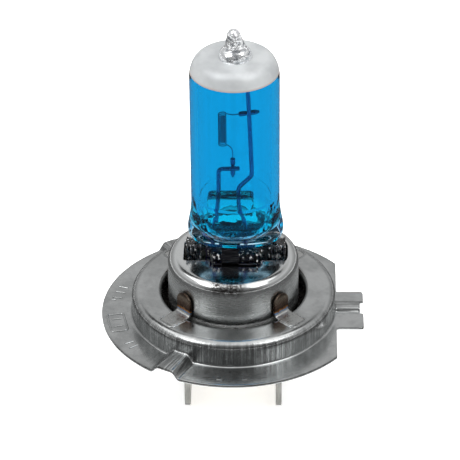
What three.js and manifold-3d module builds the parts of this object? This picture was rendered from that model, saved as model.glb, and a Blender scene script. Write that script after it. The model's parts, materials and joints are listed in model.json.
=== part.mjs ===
// Headlight bulb: one halogen capsule in a steel prefocus cap with two contact blades.
//
// Millimetres. The origin is on the cap's axis, at the glass-side face of the flange. +Z runs up to
// the exhaust tip and +X runs out to the keying tab.

import * as THREE from 'three';
import { mergeVertices } from 'three/addons/utils/BufferGeometryUtils.js';
import Module from 'manifold-3d';

const wasm = await Module();
wasm.setup();

// ---------------------------------------------------------------- driving dimensions

const RING = {
  sheet: 0.4,
  radius: 13.0, // the 26 mm prefocus diameter, outside the drawn wall
  flangeRadius: 16.9,
  plateTop: 3.4, // top face of the annular plate
  plateBend: 1.05,
  baseFillet: 0.3,
  holeRadius: 9.2,
  lipDepth: 1.1,
  flatX: 13.2, // straight edge of the flange beside the keying tab
};
const TAB = {
  reach: 16.65,
  yLow: -4.25,
  yHigh: 3.95,
  rise: 0.45,
  ridge: [-0.8, -0.4, 0.7, 1.8], // where the ridge along the tab starts, crests and ends, across it
  notchDepth: 0.45,
  notchWidth: 2.5,
  notchMid: 0.3,
};
const BOSS = { angles: [120, -120], rise: 1.0, sector: 4.2 };
const TONGUE = {
  angles: [45, 135, 225, 315],
  width: 2.4,
  top: 6.4,
  thickness: 0.35,
  inner: 8.4,
  root: 11.7,
  proud: 0.1, // how far its lanced root stands above the plate
};

const SHELL = { radius: 8.3, wall: 0.4, top: 8.8, bottom: -5.5, shoulder: 1.25, slotGap: 0.25 };
const SKIRT = { radius: 12.2, top: -0.2, bottom: -0.6 }; // the shell's collar, under the ring's hollow
const PLUG = { radius: 7.8, bottom: -5.3, top: -1.2, collarRadius: 6.9, collarTop: -0.4 };
const BLADE = {
  thickness: 0.8,
  width: 6.3,
  bottom: -13.4,
  shoulder: -5.6, // where it steps in to the thinner shank that runs up through the plug
  shankThickness: 0.6,
  shankWidth: 4.6,
  top: 1.6,
  pitch: 11.8,
  midX: -0.1,
  chamfer: 0.9,
};
const BLADE_SLOT_GAP = 0.1;

const GLASS = {
  axisX: 0.35, // the capsule sits a little off the cap's axis
  radius: 5.55,
  wall: 1.0,
  domeStart: 34.3,
  domeTop: 37.05,
  domeCorner: 1.6,
  cavityCorner: 1.0,
};
// outlines of [radius, height] that run up from the seal; the press narrows them front to back
const GLASS_FOOT = [
  [0, 10.4], [5.32, 10.4], [5.82, 11.0], [6.02, 11.8], [6.02, 12.8], [5.87, 13.8], [5.65, 15.0],
];
const TUBE_START = 16.4;
const CAVITY_FOOT = [[0, 12.9], [2.7, 12.9], [3.9, 13.4], [4.45, 14.4]];
const CAVITY_TUBE_START = 15.6;
const PRESS = { narrowest: 0.36, low: 11.2, high: 14.2 };
const TIP = {
  axisX: 0.5,
  root: 36.55,
  outline: [[1.95, 36.55], [1.95, 37.3], [1.5, 38.0], [1.15, 38.75], [1.08, 39.6]],
  noseRadius: 1.0,
  noseRise: 0.95,
  top: 40.8,
};
const SEAL = { top: 11.2, bottom: 3.2, halfWidth: 6.3, halfDepth: 1.9 };
const SEAL_BLOCK = { midX: 0.3, halfWidth: 2.95, halfDepth: 2.9, top: 10.3 };
const SEAL_RIB = { endGap: 0.5, pitch: 0.62, width: 0.3, depth: 0.35, count: 3, top: 10.4 };
const PEDESTAL = { midX: -0.25, halfWidth: 2.9, halfDepth: 1.05, bottom: 11.5, top: 17.5 };
const FLARE = {
  midX: 0.05,
  squeeze: 0.6,
  outline: [[0, 12], [3.9, 12], [3.7, 13.0], [2.3, 14.4], [0, 14.6]],
};

const COIL = { x: -1.2, radius: 0.47, wire: 0.1, bottom: 24.75, top: 29.2, turns: 17, pointsPerTurn: 8 };
const UPPER_LEG = [[0.11, 0, 29.02]];
const LOWER_LEG = [[-0.25, 0, 24.5], [0.02, 0, 23.9]];
const SLEEVE = { radius: 0.27, bore: 0.14 };
const POST_RADIUS = 0.27;
const POST_Y = -0.56; // the posts pass in front of the sleeves that are welded to them
const POST_BEND = 0.55;
const CHANNEL_BEND = 0.3;
const FOIL = { width: 2.2, thickness: 0.08, bottom: 5.2, top: 10.7 };
const LEAD = { radius: 0.3, bend: 0.5, turnTop: 2.6, turnBottom: 1.5, bottom: 0 };
const WELD_GAP = 0.03; // what welded pieces keep between them, so that each stays a solid of its own
const LEFT_SEAL_X = -2.35;
const RIGHT_SEAL_X = 1.55;
const CHANNEL_GAP = 0.14;

const CLIP = { sheet: 0.35, halfWidth: 2.7, gap: 0.1, bottom: 4.0, top: 9.0, footReach: 2.1, footTop: 8.3 };

const SEGMENTS = { ring: 60, shell: 48, glass: 40, tip: 16, sleeve: 12, wire: 8, coilWire: 5 };
const STEPS = { coil: 170, longPost: 44, shortPost: 36, channel: 20, lead: 14 };
const CUT = 1; // how far a cutting solid reaches past what it cuts

// ---------------------------------------------------------------- solids and curves

const MERGE_TOLERANCE = 1e-4;

/** A manifold solid of a closed geometry, with its faces turned outwards. */
function solid(geometry) {
  const bare = geometry.clone();
  bare.deleteAttribute('normal');
  bare.deleteAttribute('uv');
  const merged = mergeVertices(bare, MERGE_TOLERANCE);
  const position = merged.attributes.position;
  const corners = [0, 1, 2].map(() => new THREE.Vector3());
  const triangles = [];
  let volume = 0;
  for (let i = 0; i < merged.index.count; i += 3) {
    const triangle = [0, 1, 2].map((k) => merged.index.getX(i + k));
    if (new Set(triangle).size < 3) continue;
    triangle.forEach((vertex, k) => corners[k].fromBufferAttribute(position, vertex));
    volume += corners[0].dot(corners[1].clone().cross(corners[2]));
    triangles.push(triangle);
  }
  if (volume < 0) triangles.forEach((triangle) => triangle.reverse());
  return new wasm.Manifold(new wasm.Mesh({
    numProp: 3,
    vertProperties: Float32Array.from(position.array),
    triVerts: Uint32Array.from(triangles.flat()),
  }));
}

/** The geometry of a manifold solid. */
function geometryOf(body) {
  const { vertProperties, triVerts } = body.getMesh();
  const geometry = new THREE.BufferGeometry();
  geometry.setAttribute('position', new THREE.BufferAttribute(vertProperties, 3));
  geometry.setIndex(new THREE.BufferAttribute(triVerts, 1));
  geometry.computeVertexNormals();
  return geometry;
}

/** A box between two opposite corners. */
function box([x0, y0, z0], [x1, y1, z1]) {
  const geometry = new THREE.BoxGeometry(x1 - x0, y1 - y0, z1 - z0);
  return geometry.translate((x0 + x1) / 2, (y0 + y1) / 2, (z0 + z1) / 2);
}

/** A profile of [radius, height] points turned about the Z axis. */
function turned(points, segments) {
  const profile = points.map(([radius, height]) => new THREE.Vector2(radius, height));
  return new THREE.LatheGeometry(profile, segments).rotateX(Math.PI / 2);
}

/** Points of a quarter round in a profile, from one angle in degrees to another. */
function arc([cx, cz], rx, rz, from, to, steps) {
  return Array.from({ length: steps + 1 }, (_, i) => {
    const angle = THREE.MathUtils.degToRad(from + ((to - from) * i) / steps);
    return [cx + rx * Math.cos(angle), cz + rz * Math.sin(angle)];
  });
}

/** An outline in the YZ plane drawn out along X from x0 to x1. */
function drawnAlongX(outline, x0, x1) {
  const shape = new THREE.Shape(outline.map(([y, z]) => new THREE.Vector2(y, z)));
  const geometry = new THREE.ExtrudeGeometry(shape, { depth: x1 - x0, bevelEnabled: false });
  const basis = new THREE.Matrix4().makeBasis(
    new THREE.Vector3(0, 1, 0), new THREE.Vector3(0, 0, 1), new THREE.Vector3(1, 0, 0));
  return geometry.applyMatrix4(basis).translate(x0, 0, 0);
}

/** A round wire along a curve. */
function wire(curve, radius, steps, sides = SEGMENTS.wire) {
  const section = new THREE.Shape(Array.from({ length: sides }, (_, i) => {
    const angle = (2 * Math.PI * i) / sides;
    return new THREE.Vector2(radius * Math.cos(angle), radius * Math.sin(angle));
  }));
  return new THREE.ExtrudeGeometry(section, { steps, bevelEnabled: false, extrudePath: curve });
}

/** A polyline whose corners are rounded by bends that reach `bend` along each side. */
function bentPath(points, bend) {
  const path = new THREE.CurvePath();
  const corners = points.map((point) => new THREE.Vector3(...point));
  let start = corners[0];
  for (let i = 1; i < corners.length - 1; i += 1) {
    const into = corners[i].clone().sub(corners[i - 1]).normalize();
    const out = corners[i + 1].clone().sub(corners[i]).normalize();
    const before = corners[i].clone().addScaledVector(into, -bend);
    const after = corners[i].clone().addScaledVector(out, bend);
    path.add(new THREE.LineCurve3(start, before));
    path.add(new THREE.QuadraticBezierCurve3(before, corners[i], after));
    start = after;
  }
  path.add(new THREE.LineCurve3(start, corners[corners.length - 1]));
  return path;
}

function metal(color, roughness) {
  return new THREE.MeshStandardMaterial({ color, roughness, metalness: 1 });
}

function named(name, geometry, material) {
  const mesh = new THREE.Mesh(geometry, material);
  mesh.name = name;
  return mesh;
}

const turn = (geometry, degrees) => geometry.rotateZ(THREE.MathUtils.degToRad(degrees));

// ---------------------------------------------------------------- prefocus ring

/** A pressed ridge seen end on: its slopes run on down to a base level below the sheet. */
function ridgeOutline([footLow, crestLow, crestHigh, footHigh], rise, lowered, base) {
  const slopeLow = (crestLow - footLow) / rise;
  const slopeHigh = (footHigh - crestHigh) / rise;
  const drop = -lowered - base;
  return [
    [footLow - slopeLow * drop, base],
    [footHigh + slopeHigh * drop, base],
    [crestHigh, rise - lowered],
    [crestLow, rise - lowered],
  ];
}

function prefocusRing() {
  const { sheet, radius, flangeRadius, plateTop, plateBend, baseFillet, holeRadius, lipDepth, flatX } = RING;
  const bendAt = [radius - plateBend, plateTop - plateBend];
  const lipAt = [holeRadius + plateBend / 2, plateTop - plateBend / 2];
  const blank = flangeRadius + CUT;
  const profile = [
    [holeRadius, plateTop - lipDepth],
    ...arc(lipAt, plateBend / 2, plateBend / 2, 180, 90, 3),
    ...arc(bendAt, plateBend, plateBend, 90, 0, 5),
    ...arc([radius + baseFillet, baseFillet], baseFillet, baseFillet, 180, 270, 2),
    [blank, 0],
    [blank, -sheet],
    [radius, -sheet],
    [radius - sheet, 0],
    ...arc(bendAt, plateBend - sheet, plateBend - sheet, 0, 90, 3),
    [lipAt[0], plateTop - sheet],
    [holeRadius + sheet, plateTop - lipDepth],
    [holeRadius, plateTop - lipDepth],
  ];
  let ring = solid(turned(profile, SEGMENTS.ring));

  // each supporting boss is a radial ridge pressed up in the flange, steeper on its counter-clockwise side
  const half = BOSS.sector / 2;
  const bossLine = [-half, -half / 3, half / 2, half];
  for (const angle of BOSS.angles) {
    const ridge = drawnAlongX(ridgeOutline(bossLine, BOSS.rise, 0, -sheet / 2), radius - sheet / 3, blank);
    const hollow = drawnAlongX(
      ridgeOutline(bossLine, BOSS.rise, sheet, -2 * sheet), radius - sheet / 4, blank + CUT);
    ring = ring.add(solid(turn(ridge, angle))).subtract(solid(turn(hollow, angle)));
  }
  const below = -2 * sheet;
  ring = ring.intersect(solid(turned(
    [[0, below], [flangeRadius, below], [flangeRadius, 2 * plateTop], [0, 2 * plateTop]], SEGMENTS.ring)));

  // the straight edge, then the keying tab with a low ridge of its own and its end notch
  ring = ring.subtract(solid(box([flatX, -blank, below], [blank, blank, plateTop])));
  const tabStart = radius - sheet / 3;
  const notchX = TAB.reach - TAB.notchDepth;
  const notchLow = TAB.notchMid - TAB.notchWidth / 2;
  const notchHigh = TAB.notchMid + TAB.notchWidth / 2;
  const tabPlate = solid(box([tabStart, TAB.yLow, -sheet], [TAB.reach, TAB.yHigh, 0]));
  const tabRidge = solid(drawnAlongX(
    ridgeOutline(TAB.ridge, TAB.rise, 0, -sheet / 2), tabStart, TAB.reach));
  const tabHollow = solid(drawnAlongX(
    ridgeOutline(TAB.ridge, TAB.rise, sheet, -2 * sheet), radius - sheet / 4, TAB.reach + CUT));
  const notch = solid(box([notchX, notchLow, below], [TAB.reach + CUT, notchHigh, plateTop]));
  ring = ring.add(tabPlate.add(tabRidge)).subtract(tabHollow).subtract(notch);

  // weld tongues turned up from the plate against the shell, each in line with its lanced root
  for (const angle of TONGUE.angles) {
    const side = TONGUE.width / 2;
    const outer = TONGUE.inner + TONGUE.thickness;
    const under = plateTop - sheet / 2;
    const roundTop = arc([0, TONGUE.top - side], side, side, 0, 180, 8);
    const leaf = drawnAlongX([[-side, under], [side, under], ...roundTop], TONGUE.inner, outer);
    const foot = box([outer - sheet / 4, -side, under], [TONGUE.root, side, plateTop + TONGUE.proud]);
    ring = ring.add(solid(turn(leaf, angle))).add(solid(turn(foot, angle)));
  }
  return geometryOf(ring);
}

// ---------------------------------------------------------------- shell, plug and blades

/** The seal's outline from above, grown by a gap: two wings and the thicker block between them. */
function sealPrism(grow, bottom, top, blockTop = top) {
  const wings = box(
    [GLASS.axisX - SEAL.halfWidth - grow, -SEAL.halfDepth - grow, bottom],
    [GLASS.axisX + SEAL.halfWidth + grow, SEAL.halfDepth + grow, top]);
  const block = box(
    [SEAL_BLOCK.midX - SEAL_BLOCK.halfWidth - grow, -SEAL_BLOCK.halfDepth - grow, bottom],
    [SEAL_BLOCK.midX + SEAL_BLOCK.halfWidth + grow, SEAL_BLOCK.halfDepth + grow, blockTop]);
  return solid(wings).add(solid(block));
}

function capShell() {
  const { radius, wall, top, bottom, shoulder, slotGap } = SHELL;
  const cornerAt = [radius - shoulder, top - shoulder];
  const inside = shoulder - wall;
  const cup = solid(turned([
    [0, top],
    ...arc(cornerAt, shoulder, shoulder, 90, 0, 6),
    [radius, SKIRT.top],
    [SKIRT.radius, SKIRT.top],
    [SKIRT.radius, SKIRT.bottom],
    [radius, SKIRT.bottom],
    [radius, bottom],
    [radius - wall, bottom],
    ...arc(cornerAt, inside, inside, 0, 90, 4),
    [0, top - wall],
  ], SEGMENTS.shell));
  const clipRoom = CLIP.gap + CLIP.sheet;
  const clipSlot = box(
    [SEAL_BLOCK.midX - CLIP.halfWidth - slotGap, -SEAL_BLOCK.halfDepth - clipRoom - slotGap, top - 2 * wall],
    [SEAL_BLOCK.midX + CLIP.halfWidth + slotGap, SEAL_BLOCK.halfDepth + clipRoom + slotGap, top + wall]);
  return geometryOf(cup.subtract(sealPrism(slotGap, top - 2 * wall, top + wall)).subtract(solid(clipSlot)));
}

const bladeX = (side) => BLADE.midX + (side * BLADE.pitch) / 2;

function insulatorPlug() {
  let plug = solid(turned([
    [0, PLUG.bottom],
    [PLUG.radius, PLUG.bottom],
    [PLUG.radius, PLUG.top],
    [PLUG.collarRadius, PLUG.top],
    [PLUG.collarRadius, PLUG.collarTop],
    [0, PLUG.collarTop],
  ], SEGMENTS.shell));
  for (const side of [-1, 1]) {
    const halfX = BLADE.shankThickness / 2 + BLADE_SLOT_GAP;
    const halfY = BLADE.shankWidth / 2 + BLADE_SLOT_GAP;
    const x = bladeX(side);
    plug = plug.subtract(solid(
      box([x - halfX, -halfY, PLUG.bottom - CUT], [x + halfX, halfY, PLUG.collarTop + CUT])));
  }
  return geometryOf(plug);
}

/** A flat blade with a tapered end, on a thinner shank whose step stops it under the plug. */
function contactBlade(side) {
  const half = BLADE.width / 2;
  const { bottom, shoulder, top, chamfer, thickness, shankThickness, shankWidth } = BLADE;
  const outline = [
    [-half + chamfer / 2, bottom],
    [half - chamfer / 2, bottom],
    [half, bottom + chamfer],
    [half, shoulder],
    [-half, shoulder],
    [-half, bottom + chamfer],
  ];
  const x = bladeX(side);
  const blade = solid(drawnAlongX(outline, x - thickness / 2, x + thickness / 2));
  const shank = box(
    [x - shankThickness / 2, -shankWidth / 2, shoulder - shankThickness],
    [x + shankThickness / 2, shankWidth / 2, top]);
  return geometryOf(blade.add(solid(shank)));
}

/** One leaf of the clip that grips the seal's block and hangs by its foot under the shell's top. */
function sealClipLeaf(side) {
  const inner = SEAL_BLOCK.halfDepth + CLIP.gap;
  const outer = inner + CLIP.sheet;
  const profile = [
    [inner, CLIP.bottom],
    [outer, CLIP.bottom],
    [outer, CLIP.footTop - CLIP.sheet],
    [outer + CLIP.footReach, CLIP.footTop - CLIP.sheet],
    [outer + CLIP.footReach, CLIP.footTop],
    [outer, CLIP.footTop],
    [outer, CLIP.top],
    [inner, CLIP.top],
  ];
  const outline = side > 0 ? profile : profile.map(([y, z]) => [-y, z]).reverse();
  return drawnAlongX(outline, SEAL_BLOCK.midX - CLIP.halfWidth, SEAL_BLOCK.midX + CLIP.halfWidth);
}

// ---------------------------------------------------------------- quartz capsule

/** Narrows a turned body front to back towards the pressed seal, as the press leaves it. */
function pressed(geometry) {
  const { narrowest, low, high } = PRESS;
  const position = geometry.attributes.position;
  for (let i = 0; i < position.count; i += 1) {
    const reach = THREE.MathUtils.clamp((position.getZ(i) - low) / (high - low), 0, 1);
    position.setY(i, position.getY(i) * (narrowest + (1 - narrowest) * reach));
  }
  return geometry;
}

/** A blank for the glass envelope or its cavity: foot outline, straight tube, rounded dome. */
function bulbBlank(foot, tubeRadius, tubeStart, corner, rise) {
  const { axisX, domeStart } = GLASS;
  return solid(pressed(turned([
    ...foot,
    [tubeRadius, tubeStart],
    ...arc([tubeRadius - corner, domeStart], corner, rise, 0, 90, 7),
    [0, domeStart + rise],
  ], SEGMENTS.glass)).translate(axisX, 0, 0));
}

function exhaustTip() {
  const { axisX, root, outline, noseRadius, noseRise, top } = TIP;
  return solid(turned([
    [0, root],
    ...outline,
    ...arc([0, top - noseRise], noseRadius, noseRise, 10, 80, 4),
    [0, top],
  ], SEGMENTS.tip).translate(axisX, 0, 0));
}

/** The glass block and its flare that stand up inside the cavity and carry the posts. */
function pedestal() {
  const { midX, halfWidth, halfDepth, bottom, top } = PEDESTAL;
  const flare = turned(FLARE.outline, SEGMENTS.glass).scale(1, FLARE.squeeze, 1).translate(FLARE.midX, 0, 0);
  const block = box([midX - halfWidth, -halfDepth, bottom], [midX + halfWidth, halfDepth, top]);
  return solid(block).add(solid(flare));
}

/** The grooves between the vertical ribs at both ends of the seal, front and back. */
function sealGrooves() {
  const grooves = [];
  for (const end of [-1, 1]) {
    for (const face of [-1, 1]) {
      for (let i = 0; i < SEAL_RIB.count; i += 1) {
        const x = GLASS.axisX + end * (SEAL.halfWidth - SEAL_RIB.endGap - i * SEAL_RIB.pitch);
        const y = face * SEAL.halfDepth;
        grooves.push(box(
          [x - SEAL_RIB.width / 2, y - SEAL_RIB.depth, SEAL.bottom - CUT],
          [x + SEAL_RIB.width / 2, y + SEAL_RIB.depth, SEAL_RIB.top]));
      }
    }
  }
  return grooves;
}

/** The way of one post, its foil and its lead through the seal. */
function sealChannel({ below }, sealX) {
  const reach = FOIL.width / 2 + CHANNEL_GAP;
  const depth = FOIL.thickness / 2 + CHANNEL_GAP;
  const leadHalf = LEAD.radius + CHANNEL_GAP;
  return [
    wire(bentPath(below, CHANNEL_BEND), POST_RADIUS + CHANNEL_GAP, STEPS.channel),
    box([sealX - reach, -depth, FOIL.bottom - CHANNEL_GAP], [sealX + reach, depth, FOIL.top + CHANNEL_GAP]),
    box([sealX - leadHalf, -leadHalf, SEAL.bottom - CUT], [sealX + leadHalf, leadHalf, FOIL.bottom]),
  ];
}

function quartzCapsule() {
  const { radius, wall, domeStart, domeTop, domeCorner, cavityCorner } = GLASS;
  const domeRise = domeTop - domeStart;
  const envelope = bulbBlank(GLASS_FOOT, radius, TUBE_START, domeCorner, domeRise);
  const cavity = bulbBlank(CAVITY_FOOT, radius - wall, CAVITY_TUBE_START, cavityCorner, domeRise - wall);
  let capsule = envelope.add(sealPrism(0, SEAL.bottom, SEAL.top, SEAL_BLOCK.top)).add(exhaustTip());
  capsule = capsule.subtract(cavity.subtract(pedestal()));
  const cuts = [
    ...sealGrooves(),
    ...sealChannel(LONG_POST, RIGHT_SEAL_X),
    ...sealChannel(SHORT_POST, LEFT_SEAL_X),
  ];
  for (const cut of cuts) capsule = capsule.subtract(solid(cut));
  return geometryOf(capsule);
}

// ---------------------------------------------------------------- filament and its supports

const UPPER_SLEEVE = { start: [0.8, 0, 29.12], end: [3.4, 0, 29.5], grip: 1.0 };
const LOWER_SLEEVE = { start: [0.06, 0, 22.85], end: [0.06, 0, 20.05], grip: 1.0 };

const LONG_POST = {
  above: [
    [1.95, POST_Y, 33.4], [2.3, POST_Y, 24.3], [2.42, POST_Y, 20.6], [0.72, 0, 18.5],
  ],
  below: [[0.72, 0, 18.5], [0.74, 0, 16.6], [RIGHT_SEAL_X, 0, 11.6], [RIGHT_SEAL_X, 0, FOIL.top + WELD_GAP]],
};
const SHORT_POST = {
  above: [[0.95, POST_Y, 21.65], [-1.68, POST_Y, 21.55], [-1.72, POST_Y / 2, 18.6]],
  below: [
    [-1.72, POST_Y / 2, 18.6], [-1.82, 0, 16.6],
    [LEFT_SEAL_X, 0, 11.6], [LEFT_SEAL_X, 0, FOIL.top + WELD_GAP],
  ],
};

const vectors = (points) => points.map((point) => new THREE.Vector3(...point));

/** The point a given distance from one point towards another. */
function between(from, to, distance) {
  const start = new THREE.Vector3(...from);
  const direction = new THREE.Vector3(...to).sub(start).normalize();
  return start.addScaledVector(direction, distance);
}

function filament() {
  const inSleeve = ({ start, end, grip }) => [1, 0.5, 0].map((part) => between(start, end, part * grip));
  const points = [...inSleeve(UPPER_SLEEVE), ...vectors(UPPER_LEG)];
  const count = COIL.turns * COIL.pointsPerTurn;
  for (let i = 0; i <= count; i += 1) {
    const angle = (2 * Math.PI * i) / COIL.pointsPerTurn;
    const z = THREE.MathUtils.lerp(COIL.top, COIL.bottom, i / count);
    points.push(new THREE.Vector3(
      COIL.x + COIL.radius * Math.cos(angle), COIL.radius * Math.sin(angle), z));
  }
  points.push(...vectors(LOWER_LEG), ...inSleeve(LOWER_SLEEVE).reverse());
  return wire(new THREE.CatmullRomCurve3(points), COIL.wire, STEPS.coil, SEGMENTS.coilWire);
}

/** A crimp sleeve from one point to another, placed by a turned mesh. */
function sleeve(name, { start, end }, material) {
  const from = new THREE.Vector3(...start);
  const along = new THREE.Vector3(...end).sub(from);
  const length = along.length();
  const tube = turned([
    [SLEEVE.bore, 0], [SLEEVE.radius, 0], [SLEEVE.radius, length], [SLEEVE.bore, length], [SLEEVE.bore, 0],
  ], SEGMENTS.sleeve);
  const mesh = named(name, geometryOf(solid(tube)), material);
  mesh.position.copy(from);
  mesh.quaternion.setFromUnitVectors(new THREE.Vector3(0, 0, 1), along.normalize());
  return mesh;
}

function post({ above, below }, steps) {
  return wire(bentPath([...above, ...below.slice(1)], POST_BEND), POST_RADIUS, steps);
}

function foil(sealX) {
  const halfX = FOIL.width / 2;
  const halfY = FOIL.thickness / 2;
  return box([sealX - halfX, -halfY, FOIL.bottom], [sealX + halfX, halfY, FOIL.top]);
}

/** The outer lead, from the foil's lower edge down and out to the inner face of its blade. */
function outerLead(sealX, side) {
  const weldX = bladeX(side) - side * (BLADE.shankThickness / 2 + LEAD.radius + WELD_GAP);
  const path = bentPath([
    [sealX, 0, FOIL.bottom - WELD_GAP],
    [sealX, 0, LEAD.turnTop],
    [weldX, 0, LEAD.turnBottom],
    [weldX, 0, LEAD.bottom],
  ], LEAD.bend);
  return wire(path, LEAD.radius, STEPS.lead);
}

// ---------------------------------------------------------------- assembly

const quartz = new THREE.MeshStandardMaterial({
  color: '#1699d6', roughness: 0.05, metalness: 0, transparent: true, opacity: 0.45,
});
const steatite = new THREE.MeshStandardMaterial({ color: '#d9d2c3', roughness: 0.75, metalness: 0 });
const satinSteel = metal('#a9abac', 0.35);
const drawnSteel = metal('#9b9c9b', 0.42);
const springSteel = metal('#4c4d52', 0.5);
const tungsten = metal('#3b3f55', 0.45);
const molybdenum = metal('#565c74', 0.4);
const nickel = metal('#b7b6b0', 0.35);

const cap = new THREE.Group();
cap.add(named('prefocus_ring', prefocusRing(), drawnSteel));
cap.add(named('cap_shell', capShell(), satinSteel));
cap.add(named('insulator_plug', insulatorPlug(), steatite));
cap.add(named('contact_blade_left', contactBlade(-1), nickel));
cap.add(named('contact_blade_right', contactBlade(1), nickel));
cap.add(named('seal_clip_front', sealClipLeaf(-1), springSteel));
cap.add(named('seal_clip_rear', sealClipLeaf(1), springSteel));

const burner = new THREE.Group();
burner.add(named('quartz_capsule', quartzCapsule(), quartz));
burner.add(named('filament', filament(), tungsten));
burner.add(sleeve('filament_sleeve_upper', UPPER_SLEEVE, molybdenum));
burner.add(sleeve('filament_sleeve_lower', LOWER_SLEEVE, molybdenum));
burner.add(named('support_post_long', post(LONG_POST, STEPS.longPost), molybdenum));
burner.add(named('support_post_short', post(SHORT_POST, STEPS.shortPost), molybdenum));
burner.add(named('seal_foil_left', foil(LEFT_SEAL_X), molybdenum));
burner.add(named('seal_foil_right', foil(RIGHT_SEAL_X), molybdenum));
burner.add(named('outer_lead_left', outerLead(LEFT_SEAL_X, -1), nickel));
burner.add(named('outer_lead_right', outerLead(RIGHT_SEAL_X, 1), nickel));

const group = new THREE.Group();
group.add(cap, burner);

export default group;
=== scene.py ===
"""Headlight bulb: the fine meshes, finishes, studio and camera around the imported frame.

Lengths are written in millimetres and turned into metres by one factor. The frame has its origin on the
cap's axis at the glass-side face of the flange, with +Z up to the exhaust tip and +X to the keying tab.
"""

import json
import logging
import math
from dataclasses import dataclass, field
from enum import Enum
from typing import Any, Callable, Iterable, Sequence

import bpy
import numpy as np
from mathutils import Matrix, Vector

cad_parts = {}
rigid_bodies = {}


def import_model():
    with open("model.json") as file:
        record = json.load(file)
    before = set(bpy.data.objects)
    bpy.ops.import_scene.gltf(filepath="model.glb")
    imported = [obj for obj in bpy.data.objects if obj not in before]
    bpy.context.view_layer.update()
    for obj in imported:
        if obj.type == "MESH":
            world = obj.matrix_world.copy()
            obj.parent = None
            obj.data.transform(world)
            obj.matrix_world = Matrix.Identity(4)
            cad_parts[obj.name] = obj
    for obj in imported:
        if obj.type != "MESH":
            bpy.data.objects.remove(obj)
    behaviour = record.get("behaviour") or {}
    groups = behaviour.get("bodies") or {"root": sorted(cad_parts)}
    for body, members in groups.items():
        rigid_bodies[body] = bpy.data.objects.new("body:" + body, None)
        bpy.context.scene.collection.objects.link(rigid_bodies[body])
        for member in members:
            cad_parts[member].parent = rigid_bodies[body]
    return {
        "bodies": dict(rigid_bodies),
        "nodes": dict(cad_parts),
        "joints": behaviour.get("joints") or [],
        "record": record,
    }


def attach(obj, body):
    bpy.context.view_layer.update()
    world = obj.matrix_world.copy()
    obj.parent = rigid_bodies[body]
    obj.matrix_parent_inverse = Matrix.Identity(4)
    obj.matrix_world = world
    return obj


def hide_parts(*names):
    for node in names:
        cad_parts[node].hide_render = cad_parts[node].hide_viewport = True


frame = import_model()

LOG = logging.getLogger("headlight_bulb")
MM = 0.001
BODY = "root"
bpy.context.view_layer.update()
QUARTZ_IOR = 1.458
MATH, VECTOR, RANGE = "ShaderNodeMath", "ShaderNodeVectorMath", "ShaderNodeMapRange"
MIX, BUMP = "ShaderNodeMix", "ShaderNodeBump"
SMOOTHLY = {"interpolation_type": "SMOOTHSTEP"}
Row = np.ndarray
Tree = bpy.types.NodeTree
Material = bpy.types.Material
Piece = bpy.types.Object
Pair = tuple[float, float]
Point = tuple[float, float, float]


# ---------------------------------------- small helpers


def linear(hex_colour: str) -> tuple[float, float, float, float]:
    """Turns an sRGB hex colour into linear RGBA.

    Args:
        hex_colour: A colour such as "#a0b0c0".

    Returns:
        Linear red, green, blue and an alpha of one.
    """
    channels = [int(hex_colour[i : i + 2], 16) / 255 for i in (1, 3, 5)]
    red, green, blue = (c / 12.92 if c <= 0.04045 else ((c + 0.055) / 1.055) ** 2.4 for c in channels)
    return red, green, blue, 1.0


def feed(node: Any, inputs: dict[Any, Any] | Sequence[Any]) -> None:
    """Sets or links a node's inputs.

    Args:
        node: The node.
        inputs: A value, a socket or a node for each input, in order, or by name or index. A socket is
            linked, and a node stands for its first enabled output.
    """
    for key, value in inputs.items() if isinstance(inputs, dict) else enumerate(inputs):
        if isinstance(value, bpy.types.Node):
            value = next(output for output in value.outputs if output.enabled)
        if isinstance(value, bpy.types.NodeSocket):
            node.id_data.links.new(value, node.inputs[key])
        else:
            node.inputs[key].default_value = value


def add_node(tree: Tree, kind: str, inputs: dict[Any, Any] | Sequence[Any] = (), **settings: Any) -> Any:
    """Adds one node with its settings and links.

    Args:
        tree: The node tree that gets the node.
        kind: The node's type name.
        inputs: What goes into its inputs.
        settings: Properties of the node.

    Returns:
        The new node.
    """
    node = tree.nodes.new(kind)
    for name, value in settings.items():
        setattr(node, name, value)
    feed(node, inputs)
    return node


def smooth(edge0: float, edge1: float, value: Any) -> Any:
    """Smooth step from 0 at edge0 to 1 at edge1, for numbers and arrays."""
    reach = np.clip((np.asarray(value, float) - edge0) / (edge1 - edge0), 0.0, 1.0)
    return reach * reach * (3 - 2 * reach)


def link_object(name: str, mesh: bpy.types.Mesh) -> Piece:
    """Puts a mesh into the scene as an object at the origin.

    Args:
        name: The object's name.
        mesh: Its mesh.

    Returns:
        The object.
    """
    piece = bpy.data.objects.new(name, mesh)
    bpy.context.scene.collection.objects.link(piece)
    return piece


def shade_smooth(mesh: bpy.types.Mesh, limit_degrees: float) -> None:
    """Shades a mesh smooth.

    Args:
        mesh: The mesh.
        limit_degrees: Edges sharper than this stay crisp.
    """
    mesh.polygons.foreach_set("use_smooth", [True] * len(mesh.polygons))
    mesh.set_sharp_from_angle(angle=math.radians(limit_degrees))
    mesh.update()


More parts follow.
